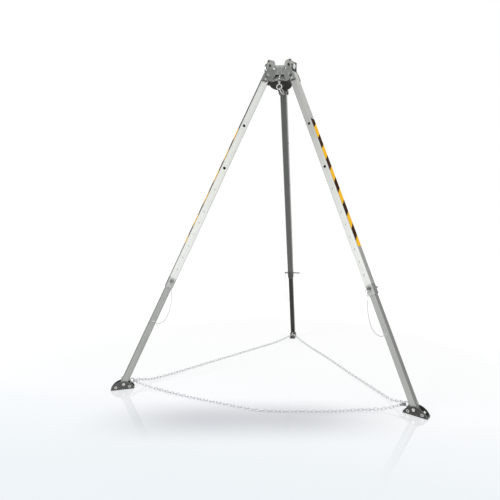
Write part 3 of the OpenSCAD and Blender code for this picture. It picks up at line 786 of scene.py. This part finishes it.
class Bench:
    """The few steps that every modelled piece shares."""

    @staticmethod
    def clear() -> None:
        """Leaves nothing selected."""
        if bpy.context.mode != "OBJECT":
            bpy.ops.object.mode_set(mode="OBJECT")
        bpy.ops.object.select_all(action="DESELECT")

    @classmethod
    def take(cls, piece: bpy.types.Object) -> bpy.types.Object:
        """Selects one object alone and makes it active."""
        cls.clear()
        piece.select_set(True)
        bpy.context.view_layer.objects.active = piece
        return piece

    @classmethod
    def settle(cls, piece: bpy.types.Object, name: str) -> bpy.types.Object:
        """Puts an object's place into its mesh and names it.

        Args:
            piece: The object.
            name: Its name.

        Returns:
            The object, at the origin, unturned and unscaled.
        """
        cls.take(piece)
        bpy.ops.object.transform_apply(location=True, rotation=True, scale=True)
        piece.name = name
        piece.data.name = name
        return piece

    @classmethod
    def modify(cls, piece: bpy.types.Object, kind: str, **settings: object) -> bpy.types.Object:
        """Adds a modifier and applies it.

        Args:
            piece: The object.
            kind: The modifier's type.
            settings: The modifier's settings.

        Returns:
            The object.
        """
        cls.take(piece)
        modifier = piece.modifiers.new(kind.title(), kind)
        for name, value in settings.items():
            setattr(modifier, name, value)
        bpy.ops.object.modifier_apply(modifier=modifier.name)
        return piece

    @classmethod
    def smooth(cls, piece: bpy.types.Object, angle: float = 35.0) -> bpy.types.Object:
        """Shades a piece smooth, with edges above an angle kept sharp."""
        cls.take(piece)
        bpy.ops.object.shade_smooth_by_angle(angle=math.radians(angle))
        return piece

    @classmethod
    def choose(cls, piece: bpy.types.Object, test: Callable[[Vector], bool]) -> None:
        """Opens a piece for editing with some of its points selected.

        Args:
            piece: The piece.
            test: Whether a point is selected.
        """
        cls.take(piece)
        bpy.ops.object.mode_set(mode="EDIT")
        bpy.ops.mesh.select_all(action="DESELECT")
        bpy.ops.object.mode_set(mode="OBJECT")
        for vertex in piece.data.vertices:
            vertex.select = test(vertex.co)
        bpy.ops.object.mode_set(mode="EDIT")

    @classmethod
    def long_link(
        cls, length: float, width: float, wire: float, faces: tuple[int, int]
    ) -> bpy.types.Object:
        """Draws a ring out to a long link at the origin, its length along X.

        Args:
            length: Its inside length.
            width: Its inside width.
            wire: Its wire.
            faces: Faces along the ring and round the wire.

        Returns:
            The link.
        """
        cls.clear()
        bpy.ops.mesh.primitive_torus_add(
            major_radius=(width + wire) / 2, minor_radius=wire / 2,
            major_segments=faces[0], minor_segments=faces[1],
        )
        link = bpy.context.object
        for side in (-1.0, 1.0):
            cls.choose(link, lambda point: side * point.x > HAIR)
            bpy.ops.transform.translate(value=(side * (length - width) / 2, 0.0, 0.0))
            bpy.ops.object.mode_set(mode="OBJECT")
        return link

    @classmethod
    def copies(
        cls, model: bpy.types.Object, places: Iterable[Matrix], name: str
    ) -> bpy.types.Object:
        """Copies a model to several places, as one piece.

        Args:
            model: What is copied.
            places: Where the copies go.
            name: The piece's name.

        Returns:
            The piece.
        """
        made = []
        for place in places:
            copy = bpy.data.objects.new(name, model.data.copy())
            bpy.context.collection.objects.link(copy)
            copy.data.transform(place)
            made.append(copy)
        cls.clear()
        for copy in made:
            copy.select_set(True)
        bpy.context.view_layer.objects.active = made[0]
        if len(made) > 1:
            bpy.ops.object.join()
        return cls.settle(bpy.context.view_layer.objects.active, name)

    @staticmethod
    def dress(piece: bpy.types.Object, finish: Finish) -> bpy.types.Object:
        """Gives a piece its finish as its only material."""
        piece.data.materials.clear()
        piece.data.materials.append(finish.material())
        return piece


def carry_over(node: bpy.types.Object, finish: Finish) -> None:
    """Keeps a node of the frame as it is, rounds its shading and gives it a finish.

    Args:
        node: The node.
        finish: Its finish.
    """
    Bench.dress(node, finish)
    node.data.polygons.foreach_set("use_smooth", [True] * len(node.data.polygons))
    weld = node.modifiers.new("Weld", "WELD")
    weld.merge_threshold = HAIR
    split = node.modifiers.new("Edges", "EDGE_SPLIT")
    split.split_angle = math.radians(32.0)
    log.info("finish %s on %s", finish.name, node.name)


# Camera, floor and light


@dataclass(frozen=True)
class Viewpoint:
    """The camera, as the standing tripod is seen from it.

    Args:
        place: Where it is, in the frame of the tripod's axis.
        yaw: Turn to the right, in degrees.
        pitch: Turn up, in degrees.
        roll: Turn about its own line of sight, in degrees.
        focal: Focal length in pixels.
        centre: The pixel at which it is aimed.
        picture: Width and height of the picture in pixels.
        sensor: Width of the sensor in millimetres.
    """

    place: Point = (0.4096, -2.3451, 0.8328)
    yaw: float = -9.0486
    pitch: float = -0.6320
    roll: float = 1.1468
    focal: float = 352.62
    centre: tuple[float, float] = (282.85, 252.16)
    picture: float = 500.0
    sensor: float = 36.0

    def make(self, stance: Stance) -> bpy.types.Object:
        """Makes the scene's camera.

        Args:
            stance: How the tripod stands.

        Returns:
            The camera.
        """
        yaw, pitch, roll = (math.radians(v) for v in (self.yaw, self.pitch, self.roll))
        level = Vector((math.cos(yaw), -math.sin(yaw), 0.0))
        flat = Vector((math.sin(yaw), math.cos(yaw), 0.0))
        ahead = math.cos(pitch) * flat + math.sin(pitch) * Vector(UP)
        rise = level.cross(ahead)
        right = math.cos(roll) * level + math.sin(roll) * rise
        up = -math.sin(roll) * level + math.cos(roll) * rise
        data = bpy.data.cameras.new("camera")
        data.sensor_width = self.sensor
        data.lens = self.focal * self.sensor / self.picture
        data.shift_x = 0.5 - self.centre[0] / self.picture
        data.shift_y = self.centre[1] / self.picture - 0.5
        data.clip_start, data.clip_end = 0.05, 200.0
        camera = bpy.data.objects.new("camera", data)
        bpy.context.scene.collection.objects.link(camera)
        turn = Matrix((right, up, -ahead)).transposed().to_4x4()
        place = Vector(self.place) + Vector((0.0, stance.axis_y, 0.0))
        camera.matrix_world = Matrix.Translation(place) @ turn
        bpy.context.scene.camera = camera
        return camera


@dataclass(frozen=True)
class FloorSheen(Finish):
    """Pale studio floor that fades into white, polished round the two front feet.

    Args:
        foot: Place of the right front foot along X and Y.
        polish: How much the floor mirrors at that foot.
        depths: Places along Y between which the floor's colour runs through its stops.
        stops: Shares of that way, each with the floor's colour there.
        pool: Middle of the soft shadow, along it and across it.
        run: Cosine and sine of the shadow's direction.
        shade: The shadow's colour.
        share: How strong the shadow is.
        bounced: The floor's colour as other surfaces see it.
    """

    foot: tuple[float, float] = (0.816, -0.670)
    polish: float = 0.17
    depths: tuple[float, float] = (-2.6, 2.2)
    stops: tuple[tuple[float, Colour], ...] = (
        (0.0, (0.80, 0.84, 0.87)),
        (0.16, (0.838, 0.880, 0.910)),
        (0.36, (0.952, 0.965, 0.980)),
        (0.56, (0.975, 0.985, 0.982)),
        (0.80, (0.995, 0.995, 0.995)),
        (1.0, WHITE),
    )
    pool: tuple[float, float] = (-0.178, -0.860)
    run: tuple[float, float] = (0.980, 0.198)
    shade: Colour = (0.42, 0.43, 0.47)
    share: float = 0.55
    bounced: Colour = (0.72, 0.73, 0.74)

    def paint(self) -> bpy.types.Material:
        """Makes the material."""
        p = Paint(self.name)
        at = p.place()
        x = p.along(at, (1.0, 0.0, 0.0))
        y = p.along(at, (0.0, 1.0, 0.0))
        depth = y.ramp(*self.depths)
        glow = p.node("ShaderNodeValToRGB", {"stops": self.stops}, {"Fac": depth})
        cos, sin = self.run
        along = x * cos + y * sin - self.pool[0]
        across = y * cos - x * sin - self.pool[1]
        shadow = abs(across).ramp(0.25, 0.0) * abs(along).ramp(0.88, 0.22)
        glow = p.blend(self.share * shadow, glow, self.shade)
        light = p.node("ShaderNodeEmission", None, {"Color": glow, "Strength": 1.13})
        matt = p.node("ShaderNodeBsdfDiffuse", None, {"Color": glow})
        far = (x * x + y * y).root().ramp(1.2, 3.2)
        base = p.node("ShaderNodeMixShader", None, {0: 0.62 + 0.38 * far, 1: matt, 2: light})
        mirror = p.node("ShaderNodeBsdfGlossy", None, {"Color": WHITE, "Roughness": 0.04})
        side = abs(x) - self.foot[0]
        front = y - self.foot[1]
        polish = self.polish * (side * side + front * front).root().ramp(0.75, 0.12)
        shown = p.node("ShaderNodeMixShader", None, {0: polish, 1: base, 2: mirror})
        plain = p.node("ShaderNodeBsdfDiffuse", None, {"Color": self.bounced})
        seen = p.node("ShaderNodeLightPath", output="Is Camera Ray")
        glossy = p.node("ShaderNodeLightPath", output="Is Glossy Ray")
        clear = p.node("ShaderNodeLightPath", output="Is Transmission Ray")
        share = (seen + glossy + clear).clamped()
        return p.ended(p.node("ShaderNodeMixShader", None, {0: share, 1: plain, 2: shown}))


@dataclass(frozen=True)
class Lamp:
    """A soft rectangular lamp.

    Args:
        name: Its name.
        place: Where it is.
        aim: Where it points.
        size: Its two sides.
        power: Its power in watts.
        colour: Its colour.
    """

    name: str
    place: Point
    aim: Point
    size: tuple[float, float]
    power: float
    colour: Colour = WHITE

    def make(self) -> None:
        """Puts the lamp into the scene."""
        data = bpy.data.lights.new(self.name, "AREA")
        data.shape = "RECTANGLE"
        data.size, data.size_y = self.size
        data.energy = self.power
        data.color = self.colour
        lamp = bpy.data.objects.new(self.name, data)
        bpy.context.scene.collection.objects.link(lamp)
        away = Vector(self.place) - Vector(self.aim)
        turn = away.to_track_quat("Z", "Y").to_matrix().to_4x4()
        lamp.matrix_world = Matrix.Translation(self.place) @ turn


@dataclass
class Studio:
    """The floor, the white surroundings, the lamps and the camera.

    Args:
        stance: How the tripod stands.
        ambient: Strength of the surroundings as light.
        floor: Side of the floor.
        lamps: The lamps.
    """

    stance: Stance
    ambient: float = 0.55
    floor: float = 80.0
    lamps: tuple[Lamp, ...] = (
        Lamp("key", (-2.6, -3.6, 3.4), (0.0, -0.2, 1.0), (1.8, 1.8), 60.0),
        Lamp("fill", (3.4, -2.6, 2.2), (0.0, -0.2, 1.0), (2.2, 2.6), 20.0),
        Lamp("top", (0.2, 0.6, 4.6), (0.0, -0.2, 1.2), (2.4, 2.4), 25.0),
    )

    def make(self) -> None:
        """Makes everything that isn't part of the tripod."""
        Viewpoint().make(self.stance)
        self._floor()
        self._surroundings()
        for lamp in self.lamps:
            lamp.make()
        bpy.context.scene.view_settings.view_transform = "Standard"
        log.info("studio with %d lamps", len(self.lamps))

    def _floor(self) -> None:
        """Lays the floor."""
        Bench.clear()
        bpy.ops.mesh.primitive_plane_add(size=self.floor, location=(0.0, 0.0, 0.0))
        floor = Bench.settle(bpy.context.object, "studio_floor")
        Bench.dress(floor, FloorSheen("floor_sheen"))

    def _surroundings(self) -> None:
        """Makes the world white to look at and softer as light."""
        p = Paint("surroundings", "worlds")
        lit_colour = (0.99, 1.0, 0.99)
        lit = p.node("ShaderNodeBackground", None, {"Color": lit_colour, "Strength": self.ambient})
        white = p.node("ShaderNodeBackground", None, {"Color": WHITE, "Strength": 1.0})
        seen = p.node("ShaderNodeLightPath", output="Is Camera Ray")
        glossy = p.node("ShaderNodeLightPath", output="Is Glossy Ray")
        share = (seen + glossy).clamped()
        mix = p.node("ShaderNodeMixShader", None, {0: share, 1: lit, 2: white})
        bpy.context.scene.world = p.ended(mix, "ShaderNodeOutputWorld")


# Cords


def smooth_route(points: Sequence[Vector], steps: int) -> list[Vector]:
    """Points along a smooth curve through a list of points.

    Args:
        points: The points that the curve goes through.
        steps: Pieces between two of them.

    Returns:
        The points along the curve.
    """
    route = []
    last = len(points) - 1
    for i in range(last):
        a, b, c, d = (points[max(0, min(last, i + k))] for k in (-1, 0, 1, 2))
        for k in range(steps):
            t = k / steps
            bend = (2 * a - 5 * b + 4 * c - d) * t**2 + (3 * b - a - 3 * c + d) * t**3
            route.append(0.5 * (2 * b + (c - a) * t + bend))
    return route + [points[last]]


def marks_of(route: Sequence[Vector]) -> list[float]:
    """The distance of each point of a route from its start."""
    marks = [0.0]
    for a, b in zip(route, route[1:]):
        marks.append(marks[-1] + (b - a).length)
    return marks


@dataclass
class Lanyard:
    """The thin cord that keeps a lock pin on its leg.

    Args:
        stance: How the tripod stands.
        side: The leg.
        diameter: The cord's diameter.
        pin: Distance of the pin from the apex, in millimetres.
        ring: Distance of the pull ring from the leg's line, in millimetres.
        drop: Height of the pin's axis above the cord's start, in millimetres.
        lead: Length of the cord's straight start, in millimetres.
        bends: Places along the cord in the leg's frame, in millimetres: outwards, towards the grip,
            down the leg.
        anchor: The cord's end, in the same way.
    """

    stance: Stance
    side: Side
    diameter: float = 0.0025
    pin: float = 1718.0
    ring: float = 48.3
    drop: float = 23.9
    lead: float = 8.0
    bends: tuple[Point, ...] = (
        (-18, 42, 1766), (-32, 42, 1793), (-46, 41, 1830), (-56, 39, 1870), (-61, 37, 1910),
        (-58, 34, 1943), (-48, 30, 1964), (-36, 27, 1976), (-25, 24, 1981),
    )
    anchor: Point = (-14.3, 20.35, 1975.0)

    def route(self) -> list[Vector]:
        """The cord's middle line from the pull ring to the anchor."""
        sin, cos = math.sin(self.stance.tilt), math.cos(self.stance.tilt)
        hung = ((self.drop, self.ring), (self.drop + self.lead, self.ring - 1))
        x, y, s = self.anchor
        places = (
            *((-depth * sin, across, self.pin + depth * cos) for depth, across in hung),
            *self.bends, (x - 6, y + 1, s + 2), self.anchor,
        )
        grip = self.side.grip * MM
        points = [self.stance.on_leg(self.side, x * MM, y * grip, s * MM) for x, y, s in places]
        return smooth_route(points, 6)

    def make(self) -> bpy.types.Object:
        """Returns:
            The cord.
        """
        route = self.route()
        curve = bpy.data.curves.new("lanyard", "CURVE")
        curve.dimensions = "3D"
        curve.bevel_depth = self.diameter / 2
        curve.bevel_resolution = 3
        curve.use_fill_caps = True
        line = curve.splines.new("POLY")
        line.points.add(len(route) - 1)
        for point, place in zip(line.points, route):
            point.co = (*place, 1.0)
        cord = bpy.data.objects.new("lanyard", curve)
        bpy.context.scene.collection.objects.link(cord)
        Bench.take(cord)
        bpy.ops.object.convert(target="MESH")
        cord = Bench.settle(bpy.context.object, f"lanyard_cord_{self.side.key}")
        self._map(cord, route)
        Bench.dress(cord, SHEATH)
        Bench.smooth(cord, 60.0)
        key = self.side.key
        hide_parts(f"lanyard_{key}")
        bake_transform(cord)
        marks_of(route)[-1]
        return cord

    @staticmethod
    def _map(cord: bpy.types.Object, route: Sequence[Vector]) -> None:
        """Maps the cord: u round it, v along it in metres.

        Args:
            cord: The cord's mesh.
            route: Its middle line.
        """
        marks, last = marks_of(route), len(route) - 1
        layers = cord.data.uv_layers
        layer = layers[0] if layers else layers.new(name="cord")
        for polygon in cord.data.polygons:
            corners = []
            for loop in polygon.loop_indices:
                point = cord.data.vertices[cord.data.loops[loop].vertex_index].co
                near = min(range(last + 1), key=lambda k: (route[k] - point).length_squared)
                ahead = (route[min(near + 1, last)] - route[max(near - 1, 0)]).normalized()
                over = ahead.cross(Vector((0.3, 0.8, 0.5))).normalized()
                arm = point - route[near]
                turn = math.atan2(arm.dot(ahead.cross(over)), arm.dot(over)) / math.tau
                corners.append((loop, turn % 1.0, marks[near]))
            wrap = max(c[1] for c in corners) - min(c[1] for c in corners) > 0.5
            for loop, u, v in corners:
                layer.data[loop].uv = (u + 1.0 if wrap and u < 0.5 else u, v)


# Floor chain


@dataclass(frozen=True)
class Span:
    """One run of the floor chain between two legs.

    Args:
        node: The frame's node that it stands for.
        first: The leg where it starts.
        last: The leg where it ends.
        turns: Turn of its hooks round the two chain eyes, from level, in degrees.
        first_turn: Turn of its first link about the chain's line.
        quick: Whether it starts with the quick link.
        bends: Places along it beside the tripod's axis, in millimetres, the resting ones at LOW.
    """

    node: str
    first: Side
    last: Side
    turns: tuple[float, float]
    first_turn: float
    quick: bool
    bends: tuple[Point, ...]


# Height of the middle line of a chain that lies on the floor, in millimetres
LOW = 7.8
SPANS = (
    Span("chain_front", Side.RIGHT, Side.LEFT, (-26.0, -26.0), 90.0, True, (
        (735, -448, 31), (700, -452, 20), (650, -459, 10), (590, -474, LOW), (520, -495, LOW),
        (400, -533, LOW), (230, -570, LOW), (60, -598, LOW), (-20, -594, LOW), (-140, -572, LOW),
        (-320, -536, LOW), (-420, -512, LOW), (-520, -484, LOW), (-610, -456, LOW),
        (-680, -440, 13), (-725, -438, 25),
    )),
    Span("chain_right", Side.RIGHT, Side.REAR, (10.0, 10.0), 0.0, False, (
        (750, -413, 36), (732, -378, 23), (706, -330, 11), (640, -205, LOW), (575, -90, LOW),
        (510, 25, LOW), (428, 180, LOW), (350, 330, LOW), (265, 480, LOW), (185, 615, 9),
        (110, 730, 18), (50, 820, 32), (20, 858, 39),
    )),
    Span("chain_left", Side.LEFT, Side.REAR, (10.0, -26.0), 0.0, False, (
        (-750, -413, 36), (-730, -370, 22), (-702, -316, 11), (-640, -207, LOW), (-578, -101, LOW),
        (-519, 2, LOW), (-451, 119, LOW), (-365, 268, LOW), (-280, 415, LOW), (-195, 562, LOW),
        (-125, 680, 10), (-65, 780, 19), (-22, 850, 30),
    )),
)


@dataclass
class FloorChain:
    """Welded chain from foot to foot, with the quick link that opens it.

    Args:
        stance: How the tripod stands.
        inside: Inside length of a link.
        gap: Inside width of a link.
        wire: Wire of a link.
        eye_s: Distance of the chain eyes from the apex.
        eye_x: Distance of a chain eye's middle from the leg's line.
        eye_r: Mean radius of a chain eye.
        eye_wire: Wire of a chain eye.
        near: Share of a half span that goes into its end piece.
        end_links: Links over which a span turns from a flat end to its lean on the floor.
        lean: That lean, in degrees.
        fit: Gap between two pieces that touch.
        slack: Play of an end link on its eye.
        bead: How much larger a link is on from its weld.
        quick_length: Outside length of the quick link.
        quick_width: Its outside width.
        quick_wire: Its wire.
        sleeve: Radius and length of its screw sleeve.
    """

    stance: Stance
    inside: float = 0.021
    gap: float = 0.0072
    wire: float = 0.0042
    eye_s: float = 2.336
    eye_x: float = 0.03775
    eye_r: float = 0.012
    eye_wire: float = 0.0055
    near: float = 0.5
    end_links: int = 8
    lean: float = 45.0
    fit: float = 0.0003
    slack: float = 0.0016
    bead: float = 1.06
    quick_length: float = 0.036
    quick_width: float = 0.020
    quick_wire: float = 0.005
    sleeve: tuple[float, float] = (0.0046, 0.012)

    def make(self) -> list[bpy.types.Object]:
        """Makes every span and the quick link.

        Returns:
            The pieces.
        """
        link = self._link()
        pieces = []
        for span in SPANS:
            places = self._places(span)
            pieces += self._laid(link, span, places)
            log.info("%s: %d links", span.node, len(places))
        bpy.data.objects.remove(link)
        pieces.append(self._quick_link())
        return pieces

    def hook(self, side: Side, turn: float) -> Vector:
        """The point of a chain eye's wire that a chain hangs on, beside the tripod's axis."""
        tilt, a, t = self.stance.tilt, math.radians(side.value), math.radians(turn)
        mid = self.eye_s * math.sin(tilt) - self.eye_x * math.cos(tilt)
        height = self.stance.apex - self.eye_s * math.cos(tilt) - self.eye_x * math.sin(tilt)
        r = mid - self.eye_r * math.cos(t)
        return Vector((r * math.cos(a), r * math.sin(a), height + self.eye_r * math.sin(t)))

    def _link(self) -> bpy.types.Object:
        """One link at the origin, a little larger on from the weld in one long side.

        Returns:
            The link.
        """
        link = Bench.long_link(self.inside, self.gap, self.wire, (16, 8))
        weld = Vector((0.0, (self.gap + self.wire) / 2, 0.0))
        Bench.choose(link, lambda point: point.x > (-HAIR if point.y > 0 else HAIR))
        bpy.ops.transform.resize(value=(1.0, self.bead, self.bead), center_override=weld)
        bpy.ops.object.mode_set(mode="OBJECT")
        return Bench.smooth(link, 60.0)

    def _places(self, span: Span) -> list[Matrix]:
        """Where the links of a span are.

        Args:
            span: The span.

        Returns:
            A place for each link.
        """
        ends = [self.hook(side, turn) for side, turn in zip((span.first, span.last), span.turns)]
        points = [ends[0], *(Vector(b) * MM for b in span.bends), ends[1]]
        route = smooth_route(points, 10)
        marks = marks_of(route)
        end_gap = self.inside / 2 - self.eye_wire / 2 - self.fit - self.slack
        half = self.inside / 2 + self.wire / 2
        first_gap = end_gap
        if span.quick:
            hung = self._quick_gap() + self.quick_length / 2 - self.quick_wire
            first_gap = hung - self.wire - self.fit + half
        run = marks[-1] - first_gap - end_gap
        count = math.ceil(run / (self.inside - self.fit))
        if (count + round(span.first_turn / 90)) % 2:
            count += 1
        places = []
        for i in range(count + 1):
            at = first_gap + run * i / count
            back, here, on = (self._spot(route, marks, at + step) for step in (-half, 0.0, half))
            lean = self.lean * min(1.0, min(i, count - i) / self.end_links)
            roll = span.first_turn + 90.0 * i + lean
            places.append(self._turned(here, (on - back).normalized(), roll))
        return places

    def _quick_gap(self) -> float:
        """Distance of the quick link's middle from the hook."""
        return self.quick_length / 2 - self.quick_wire - self.eye_wire / 2 - self.fit - self.slack

    @staticmethod
    def _spot(route: Sequence[Vector], marks: Sequence[float], at: float) -> Vector:
        """The point of a route at a distance from its start.

        Args:
            route: The points.
            marks: Their distances from the start.
            at: The distance.

        Returns:
            The point.
        """
        at = max(0.0, min(marks[-1], at))
        k = next(i for i in range(1, len(marks)) if marks[i] >= at)
        step = marks[k] - marks[k - 1]
        return route[k - 1].lerp(route[k], (at - marks[k - 1]) / step if step else 0.0)

    def _turned(self, here: Vector, ahead: Vector, roll: float) -> Matrix:
        """A place on the floor chain.

        Args:
            here: Beside the tripod's axis.
            ahead: Direction of the chain there.
            roll: Turn about that direction, in degrees.

        Returns:
            The place in the tripod's frame.
        """
        turn = (
            Matrix.Rotation(math.atan2(ahead.y, ahead.x), 4, "Z")
            @ Matrix.Rotation(-math.asin(ahead.z), 4, "Y")
            @ Matrix.Rotation(math.radians(roll), 4, "X")
        )
        return Matrix.Translation(here + Vector((0.0, self.stance.axis_y, 0.0))) @ turn

    def _laid(
        self, link: bpy.types.Object, span: Span, places: list[Matrix]
    ) -> list[bpy.types.Object]:
        """Lays a span's links as four pieces: an end piece and a middle piece from each leg.

        Args:
            link: The link that is copied.
            span: The span.
            places: Its links' places.

        Returns:
            The pieces.
        """
        middle = len(places) // 2
        pieces = []
        for side, run in ((span.first, places[:middle]), (span.last, places[middle:][::-1])):
            cut = int(len(run) * self.near)
            parts = (
                ("end", run[:cut], f"upper_leg_{side.key}", f"lower_leg_{side.key}"),
                ("middle", run[cut:], "head", f"upper_leg_{side.key}"),
            )
            for word, part, still, moving in parts:
                piece = Bench.copies(link, part, f"{span.node}_{side.key}_{word}")
                Bench.dress(piece, CHAIN_ZINC)
                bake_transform(piece)
                pieces.append(piece)
        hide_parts(span.node)
        if span.quick:
            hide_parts("chain_ends")
        return pieces

    def _quick_link(self) -> bpy.types.Object:
        """The quick link between the right chain eye and the front span.

        Returns:
            The quick link.
        """
        inner = [size - 2 * self.quick_wire for size in (self.quick_length, self.quick_width)]
        link = Bench.long_link(*inner, self.quick_wire, (32, 12))
        Bench.clear()
        bpy.ops.mesh.primitive_cylinder_add(
            vertices=6, radius=self.sleeve[0], depth=self.sleeve[1],
            location=(0.0, (self.quick_width - self.quick_wire) / 2, 0.0),
            rotation=(0.0, math.pi / 2, 0.0),
        )
        sleeve = Bench.modify(bpy.context.object, "BEVEL", width=0.0006, segments=2)
        Bench.clear()
        sleeve.select_set(True)
        link.select_set(True)
        bpy.context.view_layer.objects.active = link
        bpy.ops.object.join()
        front = SPANS[0]
        start = self.hook(front.first, front.turns[0])
        ahead = (Vector(front.bends[0]) * MM - start).normalized()
        link.data.transform(self._turned(start + self._quick_gap() * ahead, ahead, 0.0))
        piece = Bench.settle(link, "quick_link_body")
        Bench.smooth(piece, 40.0)
        Bench.dress(piece, DARK_ZINC)
        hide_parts("quick_link")
        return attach(piece, "lower_leg_right")


# The tripod


@dataclass
class Head:
    """The cast head with its sheaves, pins, eye bolt and hanging link.

    Args:
        nodes: The frame's nodes by name.
        finishes: Finish of each piece.
    """

    nodes: dict[str, bpy.types.Object]
    finishes: dict[str, Finish] = field(
        default_factory=lambda: {
            "head_casting": CAST,
            "cheek_screws": ZINC,
            "panel_screws": ZINC,
            "eye_bolt": ZINC,
            "pivot_bolts": DARK_ZINC,
            "sheave_axles": BLACK_STEEL,
            "hanging_link": ZINC,
            "hanging_link_sleeve": DARK_ZINC,
            "keeper_pins": BLACK_STEEL,
            "pivot_washers": NYLON,
            "cheek_pads": NYLON,
            **{f"sheave_{side.key}": SHEAVE_ALLOY for side in Side},
        }
    )

    def make(self) -> None:
        """Gives the head's pieces their finishes."""
        for name, finish in self.finishes.items():
            carry_over(self.nodes[name], finish)


@dataclass(frozen=True)
class LegShading:
    """Painted light and shade of one leg.

    Args:
        upper: Painted shading of the upper tube.
        lower: Painted shading of the lower tube.
        plate: Painted shade level of the foot plates.
    """

    upper: Tones
    lower: Tones
    plate: float


# Painted light and shade: how brightly each leg's faces and foot plates are drawn, by how the light
# falls on that leg.
LEG_SHADING = {
    Side.LEFT: LegShading(
        Tones((0.72, 0.88), (0.02, 0.26), 0.42), Tones((0.95, 0.49), (0.5, 0.24), 0.4), 0.115
    ),
    Side.RIGHT: LegShading(
        Tones((0.40, 0.84), (0.52, 0.36), 0.5), Tones((0.95, 0.50), (0.4, 0.25), 0.4), 0.075
    ),
    Side.REAR: LegShading(
        Tones((0.50, 0.46), (0.2, 0.2), 0.16), Tones((0.40, 0.30), (0.2, 0.06), 0.058), 0.075
    ),
}


@dataclass
class Leg:
    """One leg: its two tubes, its tape, its lock pin and its foot.

    Args:
        nodes: The frame's nodes by name.
        side: Which leg it is.
        look: Its painted light and shade.
        finishes: Finish of each smaller piece.
        upper_span: Distances from the apex between which the upper tube's painted shading changes.
        lower_span: The same for the lower tube.
        shaded_holes: Distances from the apex of the pin holes ringed with painted shade.
        collar: Distance of the upper tube's dull end from the apex.
        holes: Distances of the foot plates' holes from the tripod's axis.
        hole_height: Height of those holes.
    """

    nodes: dict[str, bpy.types.Object]
    side: Side
    look: LegShading
    finishes: dict[str, Finish] = field(
        default_factory=lambda: {
            "top_cap": BLACK_PLASTIC,
            "end_plug": BLACK_PLASTIC,
            "guide_pads": NYLON,
            "chain_eye": ZINC,
            "lanyard_anchor": ZINC,
            "lock_pin": DARK_ZINC,
            "foot_sole": RUBBER,
            "foot_bolt": ZINC,
        }
    )
    upper_span: tuple[float, float] = (0.4, 1.7)
    lower_span: tuple[float, float] = (1.722, 1.724)
    shaded_holes: tuple[float, ...] = (0.640, 0.948)
    collar: float = 1.70
    holes: tuple[float, float] = (0.9056, 0.9776)
    hole_height: float = 0.015

    def make(self) -> None:
        """Gives the leg's pieces their finishes."""
        key, side, look = self.side.key, self.side, self.look
        lit_holes = tuple((side, reach, self.hole_height) for reach in self.holes)
        finishes = {
            "upper_tube": DrawnTube(
                f"upper_tube_skin_{key}", side=side, tones=look.upper, span=self.upper_span,
                shaded_holes=self.shaded_holes, collar=self.collar,
            ),
            "lower_tube": DrawnTube(
                f"lower_tube_skin_{key}", side=side, tones=look.lower, span=self.lower_span
            ),
            "hazard_tape": WarningBands(f"warning_bands_{key}", side=side),
            "foot_bracket": replace(
                COATED_PLATE, name=f"coated_plate_{key}", tone=grey(look.plate), lit_holes=lit_holes
            ),
            **self.finishes,
        }
        for part, finish in finishes.items():
            carry_over(self.nodes[f"{part}_{key}"], finish)
        log.info("leg %s", key)


def main() -> None:
    """Builds the looks of the whole tripod."""
    logging.basicConfig(level=logging.INFO, format="%(name)s: %(message)s")
    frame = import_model()
    Bench.clear()
    stance = Stance()
    Studio(stance).make()
    for side in Side:
        cord = Lanyard(stance, side).make()
        log.info("cord %s", cord.name)
    for piece in FloorChain(stance).make():
        log.info("chain piece %s", piece.name)
    Head(frame["nodes"]).make()
    for side, look in LEG_SHADING.items():
        Leg(frame["nodes"], side, look).make()


if __name__ == "__main__":
    main()
